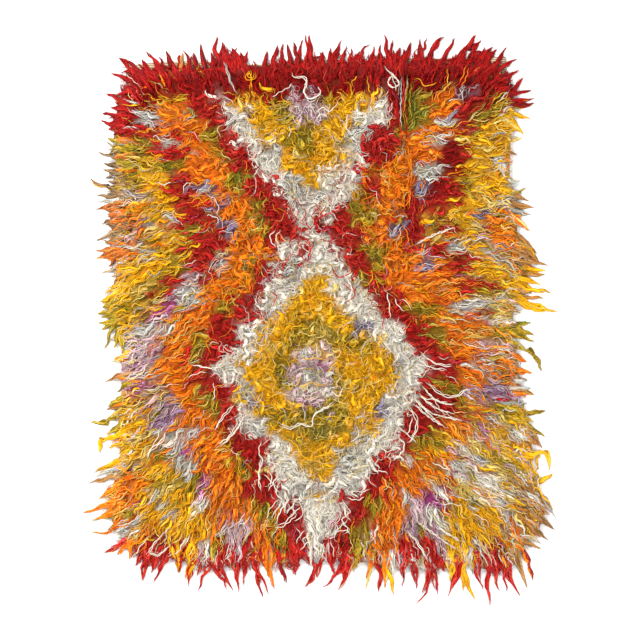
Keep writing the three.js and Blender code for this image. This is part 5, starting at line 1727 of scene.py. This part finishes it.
def add_ground():
    """The flat woven cloth that the pile is knotted into."""
    corners = {name: np.array(place) for name, place in GROUND_CORNERS.items()}
    u = np.linspace(0, 1, GROUND_COLUMNS + 1)[None, :]
    v = np.linspace(0, 1, GROUND_ROWS + 1)[:, None]
    near = corners["near_left"] * (1 - u[..., None]) + corners["near_right"] * u[..., None]
    far = corners["far_left"] * (1 - u[..., None]) + corners["far_right"] * u[..., None]
    places = near * (1 - v[..., None]) + far * v[..., None]
    waver = GROUND_WAVER * drift(places[..., 0], places[..., 1], GROUND_WAVER_SIZE, seed=23)
    places[..., 0] += waver * (np.abs(u - 0.5) * 2) ** WAVER_POWER
    places[..., 1] += waver * (np.abs(v - 0.5) * 2) ** WAVER_POWER
    edge = np.minimum(np.minimum(u, 1 - u) * GROUND_WIDTH, np.minimum(v, 1 - v) * GROUND_LENGTH)
    top = GROUND_THICKNESS - SELVEDGE * (1 - smoothstep(edge, *SELVEDGE_SPAN))
    mesh = slab_mesh("woven_ground_cloth", places, top, 0.0)
    cloth = add_piece("woven_ground_cloth", mesh, ground_material(), "woven_ground")


# The camera looks straight down on the rug. The lamps are softboxes turned to the rug's middle.
LENS = 85
SENSOR = 36
CLIP_END = 40
FLOOR_LEVEL = -0.0004
FLOOR_RADIUS = 36
FLOOR_CORNERS = 96
FLOOR_COLOUR = (0.88, 0.88, 0.87, 1)
SKY_COLOUR = (1, 1, 1, 1)
SKY_STRENGTH = 1.01
Lamp = namedtuple("Lamp", "name place size power")
LAMPS = [
    Lamp("key", place=(-2.2, 1.6, 3.0), size=1.6, power=202),
    Lamp("fill", place=(2.6, -1.8, 2.6), size=2.6, power=66),
]


def add_camera():
    camera = bpy.data.cameras.new("overhead")
    camera.lens = LENS
    camera.sensor_width = SENSOR
    camera.clip_end = CLIP_END
    overhead = bpy.data.objects.new("overhead", camera)
    middle_x, middle_y = from_pixel(IMAGE_SIZE / 2, IMAGE_SIZE / 2)
    overhead.location = (middle_x, middle_y, PILE_HEIGHT + IMAGE_SIZE * PIXEL * LENS / SENSOR)
    bpy.context.collection.objects.link(overhead)
    bpy.context.scene.camera = overhead


def add_lamp(lamp):
    light = bpy.data.lights.new(lamp.name, "AREA")
    light.size = lamp.size
    light.energy = lamp.power
    softbox = bpy.data.objects.new(lamp.name, light)
    softbox.location = lamp.place
    softbox.rotation_mode = "QUATERNION"
    softbox.rotation_quaternion = (-Vector(lamp.place)).to_track_quat("-Z", "Y")
    bpy.context.collection.objects.link(softbox)


def add_floor():
    turns = np.linspace(0, FULL_TURN, FLOOR_CORNERS, endpoint=False)
    corners = [(FLOOR_RADIUS * math.cos(turn), FLOOR_RADIUS * math.sin(turn), FLOOR_LEVEL) for turn in turns]
    mesh = bpy.data.meshes.new("pale_floor")
    mesh.from_pydata(corners, [], [range(FLOOR_CORNERS)])
    mesh.materials.append(Nodes("pale_floor_paint").finish(FLOOR_COLOUR, roughness=0.8))
    floor = bpy.data.objects.new("pale_floor", mesh)
    bpy.context.collection.objects.link(floor)


def add_sky():
    world = bpy.data.worlds.new("studio")
    world.use_nodes = True
    backdrop = world.node_tree.nodes["Background"]
    backdrop.inputs[0].default_value = SKY_COLOUR
    backdrop.inputs[1].default_value = SKY_STRENGTH
    bpy.context.scene.world = world
    bpy.context.scene.view_settings.view_transform = "Standard"


add_camera()
add_floor()
for lamp in LAMPS:
    add_lamp(lamp)
add_sky()
add_ground()
add_fleece()
add_locks()
